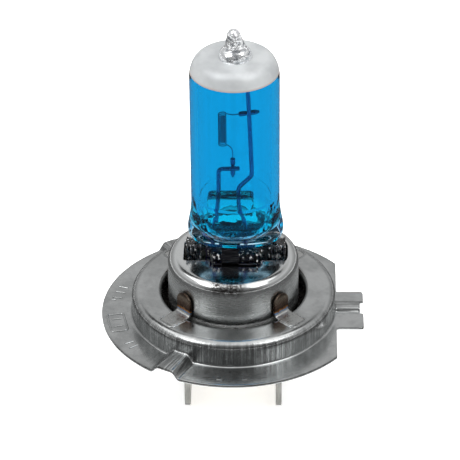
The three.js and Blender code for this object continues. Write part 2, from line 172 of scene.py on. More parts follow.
@dataclass
class MeshParts:
    """Vertices and faces gathered shell by shell, in millimetres, for one mesh."""

    points: list[Point] = field(default_factory=list)
    faces: list[tuple[int, ...]] = field(default_factory=list)
    slots: list[int] = field(default_factory=list)

    def add_shell(
        self,
        rows: Sequence[Row],
        wrap: bool = False,
        inward: bool = False,
        slot_of: Callable[[int], int] | None = None,
    ) -> None:
        """Skins closed rows of points into one closed shell.

        Args:
            rows: Arrays of points, each a closed loop of the same count, or a single point for a pole.
            wrap: Whether the last row joins the first, as round a ring.
            inward: Whether the faces look into the shell, as a cavity's do.
            slot_of: Gives the material slot of the band above a row.
        """
        start = len(self.points)
        offsets = []
        for row in rows:
            offsets.append(len(self.points))
            self.points.extend(map(tuple, row))
        first_face = len(self.faces)
        pairs = [(i, i + 1) for i in range(len(rows) - 1)]
        if wrap:
            pairs.append((len(rows) - 1, 0))
        for low, high in pairs:
            slot = slot_of(low) if slot_of else 0
            count = max(len(rows[low]), len(rows[high]))
            for j in range(count):
                k = (j + 1) % count
                quad = (
                    offsets[low] + j % len(rows[low]),
                    offsets[low] + k % len(rows[low]),
                    offsets[high] + k % len(rows[high]),
                    offsets[high] + j % len(rows[high]),
                )
                corners = tuple(dict.fromkeys(quad))
                if len(corners) > 2:
                    self.faces.append(corners)
                    self.slots.append(slot)
        if not wrap:
            for row, offset, flip in ((rows[0], offsets[0], True), (rows[-1], offsets[-1], False)):
                if len(row) > 1:
                    loop = tuple(range(offset, offset + len(row)))
                    self.faces.append(loop[::-1] if flip else loop)
                    self.slots.append(slot_of(0 if flip else len(rows) - 2) if slot_of else 0)
        self._orient(start, first_face, inward)

    def _orient(self, start: int, first_face: int, inward: bool) -> None:
        """Turns the newest shell so that its faces look out, or into it for a cavity.

        Args:
            start: Its first point.
            first_face: Its first face.
            inward: Whether it is a cavity.
        """
        middle = np.mean(self.points[start:], axis=0)
        volume = 0.0
        for face in self.faces[first_face:]:
            corners = [np.subtract(self.points[v], middle) for v in face]
            for b, c in zip(corners[1:], corners[2:]):
                volume += float(np.dot(corners[0], np.cross(b, c)))
        if (volume < 0) != inward:
            self.faces[first_face:] = [face[::-1] for face in self.faces[first_face:]]

    def to_object(self, name: str, materials: Iterable[Material], crisp: float = 40) -> Piece:
        """Makes the object, in metres.

        Args:
            name: The piece's name.
            materials: One material for each slot.
            crisp: Edges bent more than this many degrees stay sharp.

        Returns:
            The finished object.
        """
        mesh = bpy.data.meshes.new(name)
        mesh.from_pydata([tuple(c * MM for c in point) for point in self.points], [], self.faces)
        for material in materials:
            mesh.materials.append(material)
        mesh.polygons.foreach_set("material_index", self.slots)
        shade_smooth(mesh, crisp)
        return link_object(name, mesh)


def place(piece: Piece, slot: str, *nodes: str) -> Piece:
    """Rides a finished piece on the lamp's body and says which CAD nodes it stands for.

    Args:
        piece: The piece.
        slot: Its material slot; not used.
        nodes: The CAD nodes.

    Returns:
        The same piece.
    """
    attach(piece, BODY)
    if nodes:
        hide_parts(*nodes)
    LOG.info("%s: %d faces", piece.name, len(piece.data.polygons))
    return piece


def rounded_box_loop(half_x: float, half_y: float, corner: float, count: int) -> Row:
    """Points evenly spaced round a rounded rectangle, from the middle of its +X side.

    Args:
        half_x: Half of its width along X.
        half_y: Half of its width along Y.
        corner: The corners' radius.
        count: How many points.

    Returns:
        An array of x, y pairs, counterclockwise.
    """
    straight_x, straight_y = half_x - corner, half_y - corner
    quarter = math.pi / 2 * corner
    side_x, side_y = 2 * straight_x, 2 * straight_y
    lengths = [straight_y, quarter, side_x, quarter, side_y, quarter, side_x, quarter, straight_y]
    total = sum(lengths)
    corners = [(sx * straight_x, sy * straight_y) for sx, sy in ((1, 1), (-1, 1), (-1, -1), (1, -1))]
    points = []
    for i in range(count):
        along, piece = total * i / count, 0
        while along > lengths[piece] and piece < len(lengths) - 1:
            along -= lengths[piece]
            piece += 1
        if piece % 2:
            turn = piece // 2
            angle = turn * math.pi / 2 + along / corner
            cx, cy = corners[turn]
            points.append((cx + corner * math.cos(angle), cy + corner * math.sin(angle)))
        else:
            points.append({
                0: (half_x, along),
                2: (straight_x - along, half_y),
                4: (-half_x, straight_y - along),
                6: (-straight_x + along, -half_y),
                8: (half_x, -straight_y + along),
            }[piece])
    return np.array(points)


def circle_loop(radius: float, count: int) -> Row:
    """Points evenly spaced round a circle, from +X."""
    angles = np.linspace(0, 2 * math.pi, count, endpoint=False)
    return radius * np.stack([np.cos(angles), np.sin(angles)], axis=1)


def at_height(loop: Row, z: Any, shift_x: float = 0.0) -> Row:
    """Lifts x, y points to a height, moved along X."""
    heights = np.broadcast_to(np.asarray(z, float), len(loop))
    return np.column_stack([loop[:, 0] + shift_x, loop[:, 1], heights])


def arc_points(
    centre: Pair, radius_a: float, radius_b: float, start: float, end: float, steps: int
) -> list[Pair]:
    """Points of an elliptic arc in a profile, by angle in degrees, both ends included."""
    angles = np.radians(np.linspace(start, end, steps + 1))
    return [(centre[0] + radius_a * math.cos(a), centre[1] + radius_b * math.sin(a)) for a in angles]


# ---------------------------------------- finishes


class Finish:
    """A finish that makes its Blender material once and hands it out again."""

    made: dict[str, Material] = {}
    name = "finish"

    def material(self) -> Material:
        """Gives the finish's material, made on first use.

        Returns:
            The material.
        """
        if self.name not in Finish.made:
            material = bare_material(self.name)
            tree = material.node_tree
            shader = add_node(tree, "ShaderNodeBsdfPrincipled")
            add_node(tree, "ShaderNodeOutputMaterial", (shader,))
            self.dress(tree, shader)
            Finish.made[self.name] = material
        return Finish.made[self.name]

    def dress(self, tree: Tree, shader: Any) -> None:
        """Sets the shader's values and adds the nodes that drive it."""
        raise NotImplementedError


def bare_material(name: str) -> Material:
    """Makes a material with an empty node tree.

    Args:
        name: Its name.

    Returns:
        The material.
    """
    material = bpy.data.materials.new(name)
    material.use_nodes = True
    material.node_tree.nodes.clear()
    return material


def set_stops(ramp: Any, stops: Sequence[tuple[float, tuple[float, float, float, float]]]) -> None:
    """Gives a colour ramp its stops.

    Args:
        ramp: The ramp's node.
        stops: Position and linear RGBA colour of each.
    """
    elements = ramp.color_ramp.elements
    while len(elements) < len(stops):
        elements.new(0.5)
    for element, (position, colour) in zip(elements, stops):
        element.position = position
        element.color = colour


def place_axes(tree: Tree) -> Any:
    """A node whose outputs X, Y and Z say where on the lamp a point lies, in metres."""
    place_at = add_node(tree, "ShaderNodeTexCoord")
    return add_node(tree, "ShaderNodeSeparateXYZ", (place_at.outputs["Object"],))


def pattern(tree: Tree, scale_mm: Point, detail: float = 3.0, rough: float = 0.6) -> Any:
    """Lays noise over a piece.

    Args:
        tree: The material's nodes.
        scale_mm: The grain's size along X, Y and Z, in millimetres.
        detail: The noise's octaves.
        rough: How much the fine octaves count.

    Returns:
        The noise node.
    """
    place_at = add_node(tree, "ShaderNodeTexCoord")
    scaled = add_node(tree, "ShaderNodeMapping", {
        "Vector": place_at.outputs["Object"],
        "Scale": tuple(1 / (s * MM) for s in scale_mm),
    })
    return add_node(tree, "ShaderNodeTexNoise", {
        "Vector": scaled, "Scale": 1.0, "Detail": detail, "Roughness": rough,
    })


def polar_pattern(tree: Tree, around: float, radial: float, upward: float, detail: float = 3.0) -> Any:
    """Lays noise round the lamp's axis without a seam.

    Args:
        tree: The material's nodes.
        around: How many grains go round one radian.
        radial: The grain's length outwards, in millimetres.
        upward: The grain's length along the axis, in millimetres.
        detail: The noise's octaves.

    Returns:
        The noise node.
    """
    axes = place_axes(tree)
    flat = add_node(tree, "ShaderNodeCombineXYZ", (axes.outputs["X"], axes.outputs["Y"]))
    radius = add_node(tree, VECTOR, (flat,), operation="LENGTH")
    facing = add_node(tree, VECTOR, (flat,), operation="NORMALIZE")
    spread = add_node(tree, VECTOR, {0: facing, "Scale": around}, operation="SCALE")
    depth = add_node(tree, MATH, (radius, 1 / (radial * MM)), operation="MULTIPLY")
    height = add_node(tree, MATH, (axes.outputs["Z"], 1 / (upward * MM)), operation="MULTIPLY")
    total = add_node(tree, MATH, (depth, height), operation="ADD")
    lifted = add_node(tree, "ShaderNodeCombineXYZ", {"Z": total})
    vector = add_node(tree, VECTOR, (spread, lifted), operation="ADD")
    return add_node(tree, "ShaderNodeTexNoise", {
        "Vector": vector, "Scale": 1.0, "Detail": detail, "Roughness": 0.6,
    })


@dataclass(frozen=True)
class DrawnStainless(Finish):
    """Deep-drawn stainless sheet, AISI 430: a soft grey shine with fine die marks and handling smudges."""

    name: str = "drawn_stainless_sheet"
    bright: str = "#bcbebe"
    dull: str = "#a3a5a5"
    roughness: Pair = (0.17, 0.25)

    def dress(self, tree: Tree, shader: Any) -> None:
        """Runs die marks round the flat faces and up the drawn wall; smudges change the shine.

        Args:
            tree: The material's nodes.
            shader: Its shader.
        """
        height = place_axes(tree).outputs["Z"]
        wall_foot = add_node(tree, RANGE, (height, 0.15 * MM, 0.5 * MM), **SMOOTHLY)
        wall_top = add_node(tree, RANGE, (height, 2.7 * MM, 3.38 * MM, 1.0, 0.0), **SMOOTHLY)
        on_wall = add_node(tree, MATH, (wall_foot, wall_top), operation="MULTIPLY")
        # die marks on the wall are about 0.15 mm wide and run its whole height
        wall_marks = polar_pattern(tree, 85, 12.0, 7.0, 4.0)
        grain = polar_pattern(tree, 14, 0.35, 0.5, 5.0)
        smudge = pattern(tree, (5.0, 5.0, 5.0), 4.0, 0.65)
        speck = pattern(tree, (0.6, 0.6, 0.6))
        tone = add_node(tree, RANGE, (smudge, 0.35, 0.65), **SMOOTHLY)
        colours = {"Factor": tone, 6: linear(self.dull), 7: linear(self.bright)}
        colour = add_node(tree, MIX, colours, data_type="RGBA")
        streak = add_node(tree, RANGE, (wall_marks, 0.4, 0.64, 0.62, 1.3), **SMOOTHLY)
        streak_on_wall = add_node(tree, MIX, {"Factor": on_wall, 2: 1.0, 3: streak})
        marks = add_node(tree, MATH, (wall_marks, on_wall), operation="MULTIPLY")
        grained = add_node(tree, BUMP, {"Height": grain, "Distance": 0.012 * MM, "Strength": 0.14})
        feed(shader, {
            "Metallic": 1.0,
            "Base Color": add_node(tree, VECTOR, {0: colour, "Scale": streak_on_wall}, operation="SCALE"),
            "Roughness": add_node(tree, RANGE, (speck, 0.3, 0.7, *self.roughness), **SMOOTHLY),
            "Normal": add_node(tree, BUMP, {
                "Height": marks, "Distance": 0.05 * MM, "Strength": 0.6, "Normal": grained}),
        })


@dataclass(frozen=True)
class PolishedStainless(Finish):
    """Stainless shell, buffed on its top and shoulder, satin on its wall and browned beside the welds."""

    name: str = "buffed_stainless_shell"
    bright: str = "#d2d4d4"
    # the burnt colour is the welds' heat tint, the shoulder's specks, and painted shade low inside the ring
    burnt_and_shade: str = "#2b211b"
    wall_start: float = 7.4

    def dress(self, tree: Tree, shader: Any) -> None:
        """Makes the top a near mirror and the wall satin, browns it by the welds, specks the shoulder and
        paints shade inside the ring.

        Args:
            tree: The material's nodes.
            shader: Its shader.
        """
        axes = place_axes(tree)
        x, y, height = (axes.outputs[axis] for axis in "XYZ")
        top_from, top_to = (self.wall_start - 0.5) * MM, (self.wall_start + 0.7) * MM
        on_top = add_node(tree, RANGE, (height, top_from, top_to), **SMOOTHLY)
        satin = pattern(tree, (1.2, 1.2, 0.12))
        pits = pattern(tree, (0.3, 0.3, 0.3), 4.0, 0.7)
        wall_rough = add_node(tree, RANGE, (satin, 0.3, 0.7, 0.24, 0.36), **SMOOTHLY)
        top_rough = add_node(tree, RANGE, (pits, 0.35, 0.75, 0.13, 0.22), **SMOOTHLY)
        # cos(4a) is -1 at the four welds: 1 - 8 x2 y2 / r4
        xx = add_node(tree, MATH, (x, x), operation="MULTIPLY")
        yy = add_node(tree, MATH, (y, y), operation="MULTIPLY")
        rr = add_node(tree, MATH, (xx, yy), operation="ADD")
        product = add_node(tree, MATH, (xx, yy), operation="MULTIPLY")
        squared = add_node(tree, MATH, (rr, rr), operation="MULTIPLY")
        weld_angle = add_node(tree, MATH, (product, squared), operation="DIVIDE")
        beside_weld = add_node(tree, RANGE, (weld_angle, 0.212, 0.242), **SMOOTHLY)
        weld_height = add_node(tree, RANGE, (height, 5.6 * MM, 7.0 * MM, 1.0, 0.0), **SMOOTHLY)
        heat = add_node(tree, MATH, (beside_weld, weld_height), operation="MULTIPLY")
        browned = add_node(tree, MATH, (heat, 0.75), operation="MULTIPLY")
        # a patch of dark specks on the front of the shoulder
        specks = pattern(tree, (0.34, 0.34, 0.34), 3.0, 0.75)
        off_middle = add_node(tree, MATH, (x, 0.6 * MM), operation="ADD")
        aside = add_node(tree, MATH, (off_middle,), operation="ABSOLUTE")
        in_patch_x = add_node(tree, RANGE, (aside, 1.3 * MM, 2.6 * MM, 1.0, 0.0), **SMOOTHLY)
        in_patch_y = add_node(tree, RANGE, (y, -6.2 * MM, -5.2 * MM, 1.0, 0.0), **SMOOTHLY)
        in_patch = add_node(tree, MATH, (in_patch_x, in_patch_y), operation="MULTIPLY")
        on_shoulder = add_node(tree, MATH, (in_patch, on_top), operation="MULTIPLY")
        speck_tone = add_node(tree, RANGE, (specks, 0.44, 0.6, 0.95, 0.25), **SMOOTHLY)
        stain = add_node(tree, MATH, (on_shoulder, speck_tone), operation="MULTIPLY")
        browned_and_specked = add_node(tree, MATH, (browned, stain), operation="MAXIMUM")
        # painted shade: inside the ring the shell is painted dark, from the collar's top up to the plate, so
        # the gap at the ring's lip looks black
        shade_top = add_node(tree, RANGE, (height, 1.4 * MM, 3.3 * MM, 0.94, 0.0), **SMOOTHLY)
        shade_foot = add_node(tree, RANGE, (height, -0.5 * MM, -0.25 * MM), **SMOOTHLY)
        painted_low_shade = add_node(tree, MATH, (shade_top, shade_foot), operation="MULTIPLY")
        dark = add_node(tree, MATH, (browned_and_specked, painted_low_shade), operation="MAXIMUM")
        colours = {"Factor": dark, 6: linear(self.bright), 7: linear(self.burnt_and_shade)}
        feed(shader, {
            "Metallic": 1.0,
            "Base Color": add_node(tree, MIX, colours, data_type="RGBA"),
            "Roughness": add_node(tree, MIX, {"Factor": on_top, 2: wall_rough, 3: top_rough}),
            "Normal": add_node(tree, BUMP, {"Height": pits, "Distance": 0.01 * MM, "Strength": 0.25}),
        })


@dataclass(frozen=True)
class HeatTintedSteel(Finish):
    """Stainless tongue browned by its spot weld, with a blue and straw band at the bend."""

    name: str = "heat_tinted_weld_tongue"
    bend_height: float = 3.72
    tints: tuple[tuple[float, str], ...] = (
        (0.0, "#b4b5b4"), (0.07, "#6f9fd0"), (0.13, "#b07a45"), (0.24, "#3a2a22"),
        (0.5, "#5a4a40"), (0.8, "#8a7d70"), (1.0, "#42362e"),
    )

    def dress(self, tree: Tree, shader: Any) -> None:
        """Lays the oxide colours by height: bare steel, blue, straw, brown, and a dark crust at the weld.

        Args:
            tree: The material's nodes.
            shader: Its shader.
        """
        height = place_axes(tree).outputs["Z"]
        mottle = pattern(tree, (0.45, 0.45, 0.45), 4.0, 0.7)
        shifted = add_node(tree, MATH, (mottle, 0.8 * MM, -0.4 * MM), operation="MULTIPLY_ADD")
        moved = add_node(tree, MATH, (height, shifted), operation="ADD")
        along = add_node(tree, RANGE, (moved, self.bend_height * MM, (self.bend_height + 2.6) * MM))
        ramp = add_node(tree, "ShaderNodeValToRGB", (along,))
        set_stops(ramp, [(position, linear(tint)) for position, tint in self.tints])
        feed(shader, {
            "Metallic": 1.0,
            "Base Color": ramp,
            "Roughness": add_node(tree, RANGE, (mottle, 0.35, 0.65, 0.22, 0.5), **SMOOTHLY),
            "Normal": add_node(tree, BUMP, {"Height": mottle, "Distance": 0.06 * MM, "Strength": 0.7}),
        })


@dataclass(frozen=True)
class SpringSteel(Finish):
    """Blued spring-steel strip: nearly black, with a dull shine and bright sheared edges."""

    name: str = "blued_spring_steel"
    colour: str = "#2f3036"
    rubbed: str = "#6c6d72"

    def dress(self, tree: Tree, shader: Any) -> None:
        """Puts rolling marks in the blueing, rubbed lighter in places.

        Args:
            tree: The material's nodes.
            shader: Its shader.
        """
        rolled = pattern(tree, (1.6, 0.1, 0.1))
        shade = add_node(tree, RANGE, (rolled, 0.45, 0.75), **SMOOTHLY)
        colours = {"Factor": shade, 6: linear(self.colour), 7: linear(self.rubbed)}
        feed(shader, {
            "Metallic": 1.0,
            "Base Color": add_node(tree, MIX, colours, data_type="RGBA"),
            "Roughness": add_node(tree, RANGE, (rolled, 0.3, 0.7, 0.25, 0.45), **SMOOTHLY),
            "Normal": add_node(tree, BUMP, {"Height": rolled, "Distance": 0.01 * MM, "Strength": 0.4}),
        })


@dataclass(frozen=True)
class FusedQuartz(Finish):
    """Clear fused quartz, flame-worked: smooth in the tube, wavy on the pedestal and under the tip."""

    name: str = "clear_fused_quartz"
    wave_mm: float = 2.0
    smooth_from: float = 17.6
    smooth_to: float = 36.9

    def dress(self, tree: Tree, shader: Any) -> None:
        """Makes clear glass with shallow waves where the flame and the press worked it.

        Args:
            tree: The material's nodes.
            shader: Its shader.
        """
        height = place_axes(tree).outputs["Z"]
        low_from, low_to = (self.smooth_from - 0.2) * MM, (self.smooth_from + 0.3) * MM
        low = add_node(tree, RANGE, (height, low_from, low_to, 1.0, 0.0), **SMOOTHLY)
        high_from, high_to = self.smooth_to * MM, (self.smooth_to + 0.4) * MM
        high = add_node(tree, RANGE, (height, high_from, high_to), **SMOOTHLY)
        worked = add_node(tree, MATH, (low, high), operation="ADD")
        waves = pattern(tree, (self.wave_mm, self.wave_mm, self.wave_mm * 1.4), 2.0, 0.5)
        wave_height = add_node(tree, MATH, (waves, worked), operation="MULTIPLY")
        feed(shader, {
            "Transmission Weight": 1.0,
            "IOR": QUARTZ_IOR,
            "Roughness": 0.0,
            "Base Color": linear("#fbfdff"),
            "Normal": add_node(tree, BUMP, {"Height": wave_height, "Distance": 0.3 * MM, "Strength": 0.8}),
        })


@dataclass(frozen=True)
class PressedQuartz(Finish):
    """The pinched seal: clear quartz that the press jaws left crumpled, so that it goes dark, with painted
    glints.
    """

    name: str = "jaw_pressed_quartz"
    crumple_mm: float = 0.7

    def dress(self, tree: Tree, shader: Any) -> None:
        """Makes clear glass with a strong fine crumple over a slower wave, and paints white flecks on it as
        glints.

        Args:
            tree: The material's nodes.
            shader: Its shader.
        """
        slow = pattern(tree, (self.crumple_mm * 3,) * 3, 2.0, 0.5)
        fine = pattern(tree, (self.crumple_mm,) * 3, 2.0, 0.55)
        # painted glints: white diffuse flecks stand in for light glinting inside the pressed quartz
        glint_noise = pattern(tree, (0.34, 0.34, 0.6), 2.0, 0.6)
        painted_glints = add_node(tree, RANGE, (glint_noise, 0.6, 0.64), **SMOOTHLY)
        colours = {"Factor": painted_glints, 6: linear("#cfd6df"), 7: linear("#ffffff")}
        under = add_node(tree, BUMP, {"Height": slow, "Distance": 0.5 * MM, "Strength": 0.9})
        feed(shader, {
            "IOR": QUARTZ_IOR,
            "Roughness": 0.0,
            "Base Color": add_node(tree, MIX, colours, data_type="RGBA"),
            "Transmission Weight": add_node(
                tree, RANGE, (glint_noise, 0.6, 0.64, 1.0, 0.0), **SMOOTHLY),
            "Normal": add_node(tree, BUMP, {
                "Height": fine, "Distance": 0.2 * MM, "Strength": 0.9, "Normal": under}),
        })


@dataclass(frozen=True)
class BlueCoatedQuartz(Finish):
    """Quartz tube under a transparent cobalt-blue interference coat that thins out on the seal's shoulder."""

    name: str = "blue_coated_quartz"
    coat: str = "#009ada"
    thin_coat: str = "#bfe8fb"
    fade_start: float = 11.6
    fade_end: float = 14.8

    def dress(self, tree: Tree, shader: Any) -> None:
        """Deepens the coat with height and runs faint draw lines up the tube.

        Args:
            tree: The material's nodes.
            shader: Its shader.
        """
        height = place_axes(tree).outputs["Z"]
        fade = (height, self.fade_start * MM, self.fade_end * MM)
        depth = add_node(tree, RANGE, fade, **SMOOTHLY)
        draw_lines = pattern(tree, (1.0, 1.0, 400.0), 2.0, 0.5)
        density = add_node(tree, RANGE, (draw_lines, 0.3, 0.7, 0.9, 1.0), **SMOOTHLY)
        coat = add_node(tree, VECTOR, {0: linear(self.coat)[:3], "Scale": density}, operation="SCALE")
        waves = pattern(tree, (2.2, 2.2, 120.0), 2.0, 0.5)
        colours = {"Factor": depth, 6: linear(self.thin_coat), 7: coat}
        feed(shader, {
            "Transmission Weight": 1.0,
            "IOR": QUARTZ_IOR,
            "Roughness": 0.0,
            "Base Color": add_node(tree, MIX, colours, data_type="RGBA"),
            "Normal": add_node(tree, BUMP, {"Height": waves, "Distance": 0.02 * MM, "Strength": 0.2}),
        })


@dataclass(frozen=True)
class SilverDomeCoat(Finish):
    """Heat-proof aluminium paint on the dome: matte silver-grey with a fine grain and a warm thin edge."""

    name: str = "matte_silver_dome_coat"
    silver: str = "#c6c9ca"
    shade: str = "#b2b5b7"
    edge: str = "#b8a8a0"
    edge_height: float = 35.1

    def dress(self, tree: Tree, shader: Any) -> None:
        """Adds fine pigment grain, cloudy thickness, and the thin warm line where the dip stopped.

        Args:
            tree: The material's nodes.
            shader: Its shader.
        """
        height = place_axes(tree).outputs["Z"]
        cloud = pattern(tree, (3.0, 3.0, 3.0), 3.0, 0.55)
        grain = pattern(tree, (0.09, 0.09, 0.09), 2.0, 0.7)
        tone = add_node(tree, RANGE, (cloud, 0.3, 0.7), **SMOOTHLY)
        coat = {"Factor": tone, 6: linear(self.shade), 7: linear(self.silver)}
        body = add_node(tree, MIX, coat, data_type="RGBA")
        edge = (height, self.edge_height * MM, (self.edge_height + 0.28) * MM, 1.0, 0.0)
        at_edge = add_node(tree, RANGE, edge, **SMOOTHLY)
        colours = {"Factor": at_edge, 6: body, 7: linear(self.edge)}
        feed(shader, {
            "Metallic": 0.3,
            "Base Color": add_node(tree, MIX, colours, data_type="RGBA"),
            "Roughness": add_node(tree, RANGE, (grain, 0.3, 0.7, 0.36, 0.46), **SMOOTHLY),
            "Normal": add_node(tree, BUMP, {"Height": grain, "Distance": 0.015 * MM, "Strength": 0.35}),
        })


@dataclass(frozen=True)
class SilveredTip(Finish):
    """The exhaust tip: fire-polished quartz with silver behind it, so it shines like a lumpy mirror."""

    name: str = "silvered_exhaust_tip"
    bright: str = "#eceef0"
    shade: str = "#b4b9be"
    roughness: float = 0.07

    def dress(self, tree: Tree, shader: Any) -> None:
        """Makes a mirror with lumps about half a millimetre across from the flame.

        Args:
            tree: The material's nodes.
            shader: Its shader.
        """
        lumps = pattern(tree, (0.75, 0.75, 0.5), 2.0, 0.5)
        ripples = pattern(tree, (0.3, 0.3, 0.3), 2.0, 0.5)
        tone = add_node(tree, RANGE, (lumps, 0.36, 0.52), **SMOOTHLY)
        colours = {"Factor": tone, 6: linear(self.shade), 7: linear(self.bright)}
        under = add_node(tree, BUMP, {"Height": lumps, "Distance": 0.14 * MM, "Strength": 0.7})
        feed(shader, {
            "Metallic": 0.75,
            "Roughness": self.roughness,
            "Base Color": add_node(tree, MIX, colours, data_type="RGBA"),
            "Normal": add_node(tree, BUMP, {
                "Height": ripples, "Distance": 0.05 * MM, "Strength": 0.6, "Normal": under}),
        })


@dataclass(frozen=True)
class RefractoryWire(Finish):
    """Drawn tungsten or molybdenum: dark grey wire with fine drawing scratches along it."""

    name: str = "drawn_molybdenum"
    colour: str = "#a79fc4"
    dark: str = "#6f6892"
    roughness: float = 0.3

    def dress(self, tree: Tree, shader: Any) -> None:
        """Makes a dark metal with long scratches.

        Args:
            tree: The material's nodes.
            shader: Its shader.
        """
        scratches = pattern(tree, (0.07, 0.07, 1.4), 3.0, 0.65)
        tone = add_node(tree, RANGE, (scratches, 0.35, 0.65), **SMOOTHLY)
        colours = {"Factor": tone, 6: linear(self.dark), 7: linear(self.colour)}
        shine = (scratches, 0.3, 0.7, self.roughness - 0.08, self.roughness + 0.1)
        feed(shader, {
            "Metallic": 1.0,
            "Base Color": add_node(tree, MIX, colours, data_type="RGBA"),
            "Roughness": add_node(tree, RANGE, shine, **SMOOTHLY),
            "Normal": add_node(tree, BUMP, {"Height": scratches, "Distance": 0.006 * MM, "Strength": 0.4}),
        })


@dataclass(frozen=True)
class NickelPlate(Finish):
    """Nickel-plated blade strip: warm light grey, rolled lengthways, satin."""

    name: str = "nickel_plated_strip"
    colour: str = "#9fa09d"
    worn: str = "#8c8d8a"

    def dress(self, tree: Tree, shader: Any) -> None:
        """Runs rolling grain along the strip, with cloudy wear.

        Args:
            tree: The material's nodes.
            shader: Its shader.
        """
        rolled = pattern(tree, (0.1, 0.12, 2.5), 4.0, 0.6)
        cloud = pattern(tree, (2.0, 2.0, 2.0))
        tone = add_node(tree, RANGE, (cloud, 0.3, 0.7), **SMOOTHLY)
        colours = {"Factor": tone, 6: linear(self.worn), 7: linear(self.colour)}
        feed(shader, {
            "Metallic": 1.0,
            "Base Color": add_node(tree, MIX, colours, data_type="RGBA"),
            "Roughness": add_node(tree, RANGE, (rolled, 0.3, 0.7, 0.26, 0.42), **SMOOTHLY),
            "Normal": add_node(tree, BUMP, {"Height": rolled, "Distance": 0.01 * MM, "Strength": 0.4}),
        })


@dataclass(frozen=True)
class Steatite(Finish):
    """Dry-pressed unglazed steatite: cream ceramic, matte, with a fine sandy skin."""

    name: str = "unglazed_steatite"
    colour: str = "#ddd5c4"
    stain: str = "#b9ab92"

    def dress(self, tree: Tree, shader: Any) -> None:
        """Adds sandy grain about a tenth of a millimetre across, with faint firing stains.

        Args:
            tree: The material's nodes.
            shader: Its shader.
        """
        sand = pattern(tree, (0.12, 0.12, 0.12), 3.0, 0.7)
        stains = pattern(tree, (4.0, 4.0, 4.0))
        tone = add_node(tree, RANGE, (stains, 0.5, 0.8, 0.0, 0.6), **SMOOTHLY)
        colours = {"Factor": tone, 6: linear(self.colour), 7: linear(self.stain)}
        feed(shader, {
            "Base Color": add_node(tree, MIX, colours, data_type="RGBA"),
            "Roughness": 0.78,
            "Normal": add_node(tree, BUMP, {"Height": sand, "Distance": 0.03 * MM, "Strength": 0.5}),
        })


# ---------------------------------------- curves and outlines


def rounded_outline(corners: Sequence[Point], steps: int = 5) -> Row:
    """Rounds the corners of a closed outline.

    Args:
        corners: Each corner's x and y, and how far its rounding reaches along both sides.
        steps: Points in each rounding.

    Returns:
        An array of x, y points in the order given.
    """
    points = []
    count = len(corners)
    for i, (x, y, reach) in enumerate(corners):
        here = np.array([x, y])
        before = np.array(corners[i - 1][:2]) - here
        after = np.array(corners[(i + 1) % count][:2]) - here
        if reach <= 0:
            points.append(here)
            continue
        start = here + before / np.linalg.norm(before) * reach
        end = here + after / np.linalg.norm(after) * reach
        for t in np.linspace(0, 1, steps + 1):
            points.append((1 - t) ** 2 * start + 2 * t * (1 - t) * here + t * t * end)
    return np.array(points)


def bent_path(points: Sequence[Point], bend: float, steps: int = 6) -> Row:
    """Rounds the corners of an open wire path, as a bending tool does.

    Args:
        points: The path's ends and corners.
        bend: How far each bend reaches along both sides of its corner.
        steps: Points in each bend.

    Returns:
        An array of points along the wire.
    """
    path = [np.array(points[0], float)]
    for before, here, after in zip(points, points[1:], points[2:]):
        corner = np.array(here, float)
        inward = np.array(before, float) - corner
        outward = np.array(after, float) - corner
        start = corner + inward / np.linalg.norm(inward) * bend
        end = corner + outward / np.linalg.norm(outward) * bend
        for t in np.linspace(0, 1, steps + 1):
            path.append((1 - t) ** 2 * start + 2 * t * (1 - t) * corner + t * t * end)
    path.append(np.array(points[-1], float))
    return np.array(path)


def finely(path: Row, step: float) -> Row:
    """Adds points along a path so that none is further than a step from the next.

    Args:
        path: The path's points.
        step: The longest step.

    Returns:
        The finer path.
    """
    fine = [path[0]]
    for start, end in zip(path, path[1:]):
        pieces = max(1, math.ceil(float(np.linalg.norm(end - start)) / step))
        fine.extend(start + (end - start) * k / pieces for k in range(1, pieces + 1))
    return np.array(fine)


def frames_along(path: Row) -> list[tuple[Row, Row]]:
    """Finds two directions across a path at each point, turning as little as they can along it.

    Args:
        path: The path's points.

    Returns:
        The two directions at each point.
    """
    tangents = np.gradient(path, axis=0)
    tangents /= np.linalg.norm(tangents, axis=1)[:, None]
    across = np.cross(tangents[0], (0.0, 1.0, 0.0))
    if np.linalg.norm(across) < 0.1:
        across = np.cross(tangents[0], (1.0, 0.0, 0.0))
    frames = []
    for tangent in tangents:
        across = across - tangent * np.dot(across, tangent)
        across /= np.linalg.norm(across)
        frames.append((across, np.cross(tangent, across)))
    return frames


def swept_rows(
    path: Row,
    radius: float,
    sides: int = 20,
    flatten: Callable[[float], Pair] | None = None,
) -> list[Row]:
    """Rows of a round rod along a path, with ends rounded over.

    Args:
        path: The points the rod follows.
        radius: The rod's radius.
        sides: Points round it.
        flatten: Gives the two half-widths, as shares of the radius, at a share of the length.

    Returns:
        Rows for a shell, from pole to pole.
    """
    frames = frames_along(path)
    angles = np.linspace(0, 2 * math.pi, sides, endpoint=False)
    lengths = np.concatenate([[0], np.cumsum(np.linalg.norm(np.diff(path, axis=0), axis=1))])
    total = lengths[-1]
    nose = min(radius * 0.6, total / 4)
    rows: list[Row] = [path[0][None]]
    shares = (0.03, 0.15, 0.4, 0.7, 1.0)
    noses = [(nose * f, radius * math.sqrt(1 - (1 - nose * f / nose) ** 2)) for f in shares]
    for distance, narrowed in noses:
        rows.append(_ring_at(path, frames, lengths, distance, narrowed, angles, flatten))
    for distance in lengths[(lengths > nose * 1.05) & (lengths < total - nose * 1.05)]:
        rows.append(_ring_at(path, frames, lengths, distance, radius, angles, flatten))
    for distance, narrowed in reversed(noses):
        rows.append(_ring_at(path, frames, lengths, total - distance, narrowed, angles, flatten))
    rows.append(path[-1][None])
    return rows


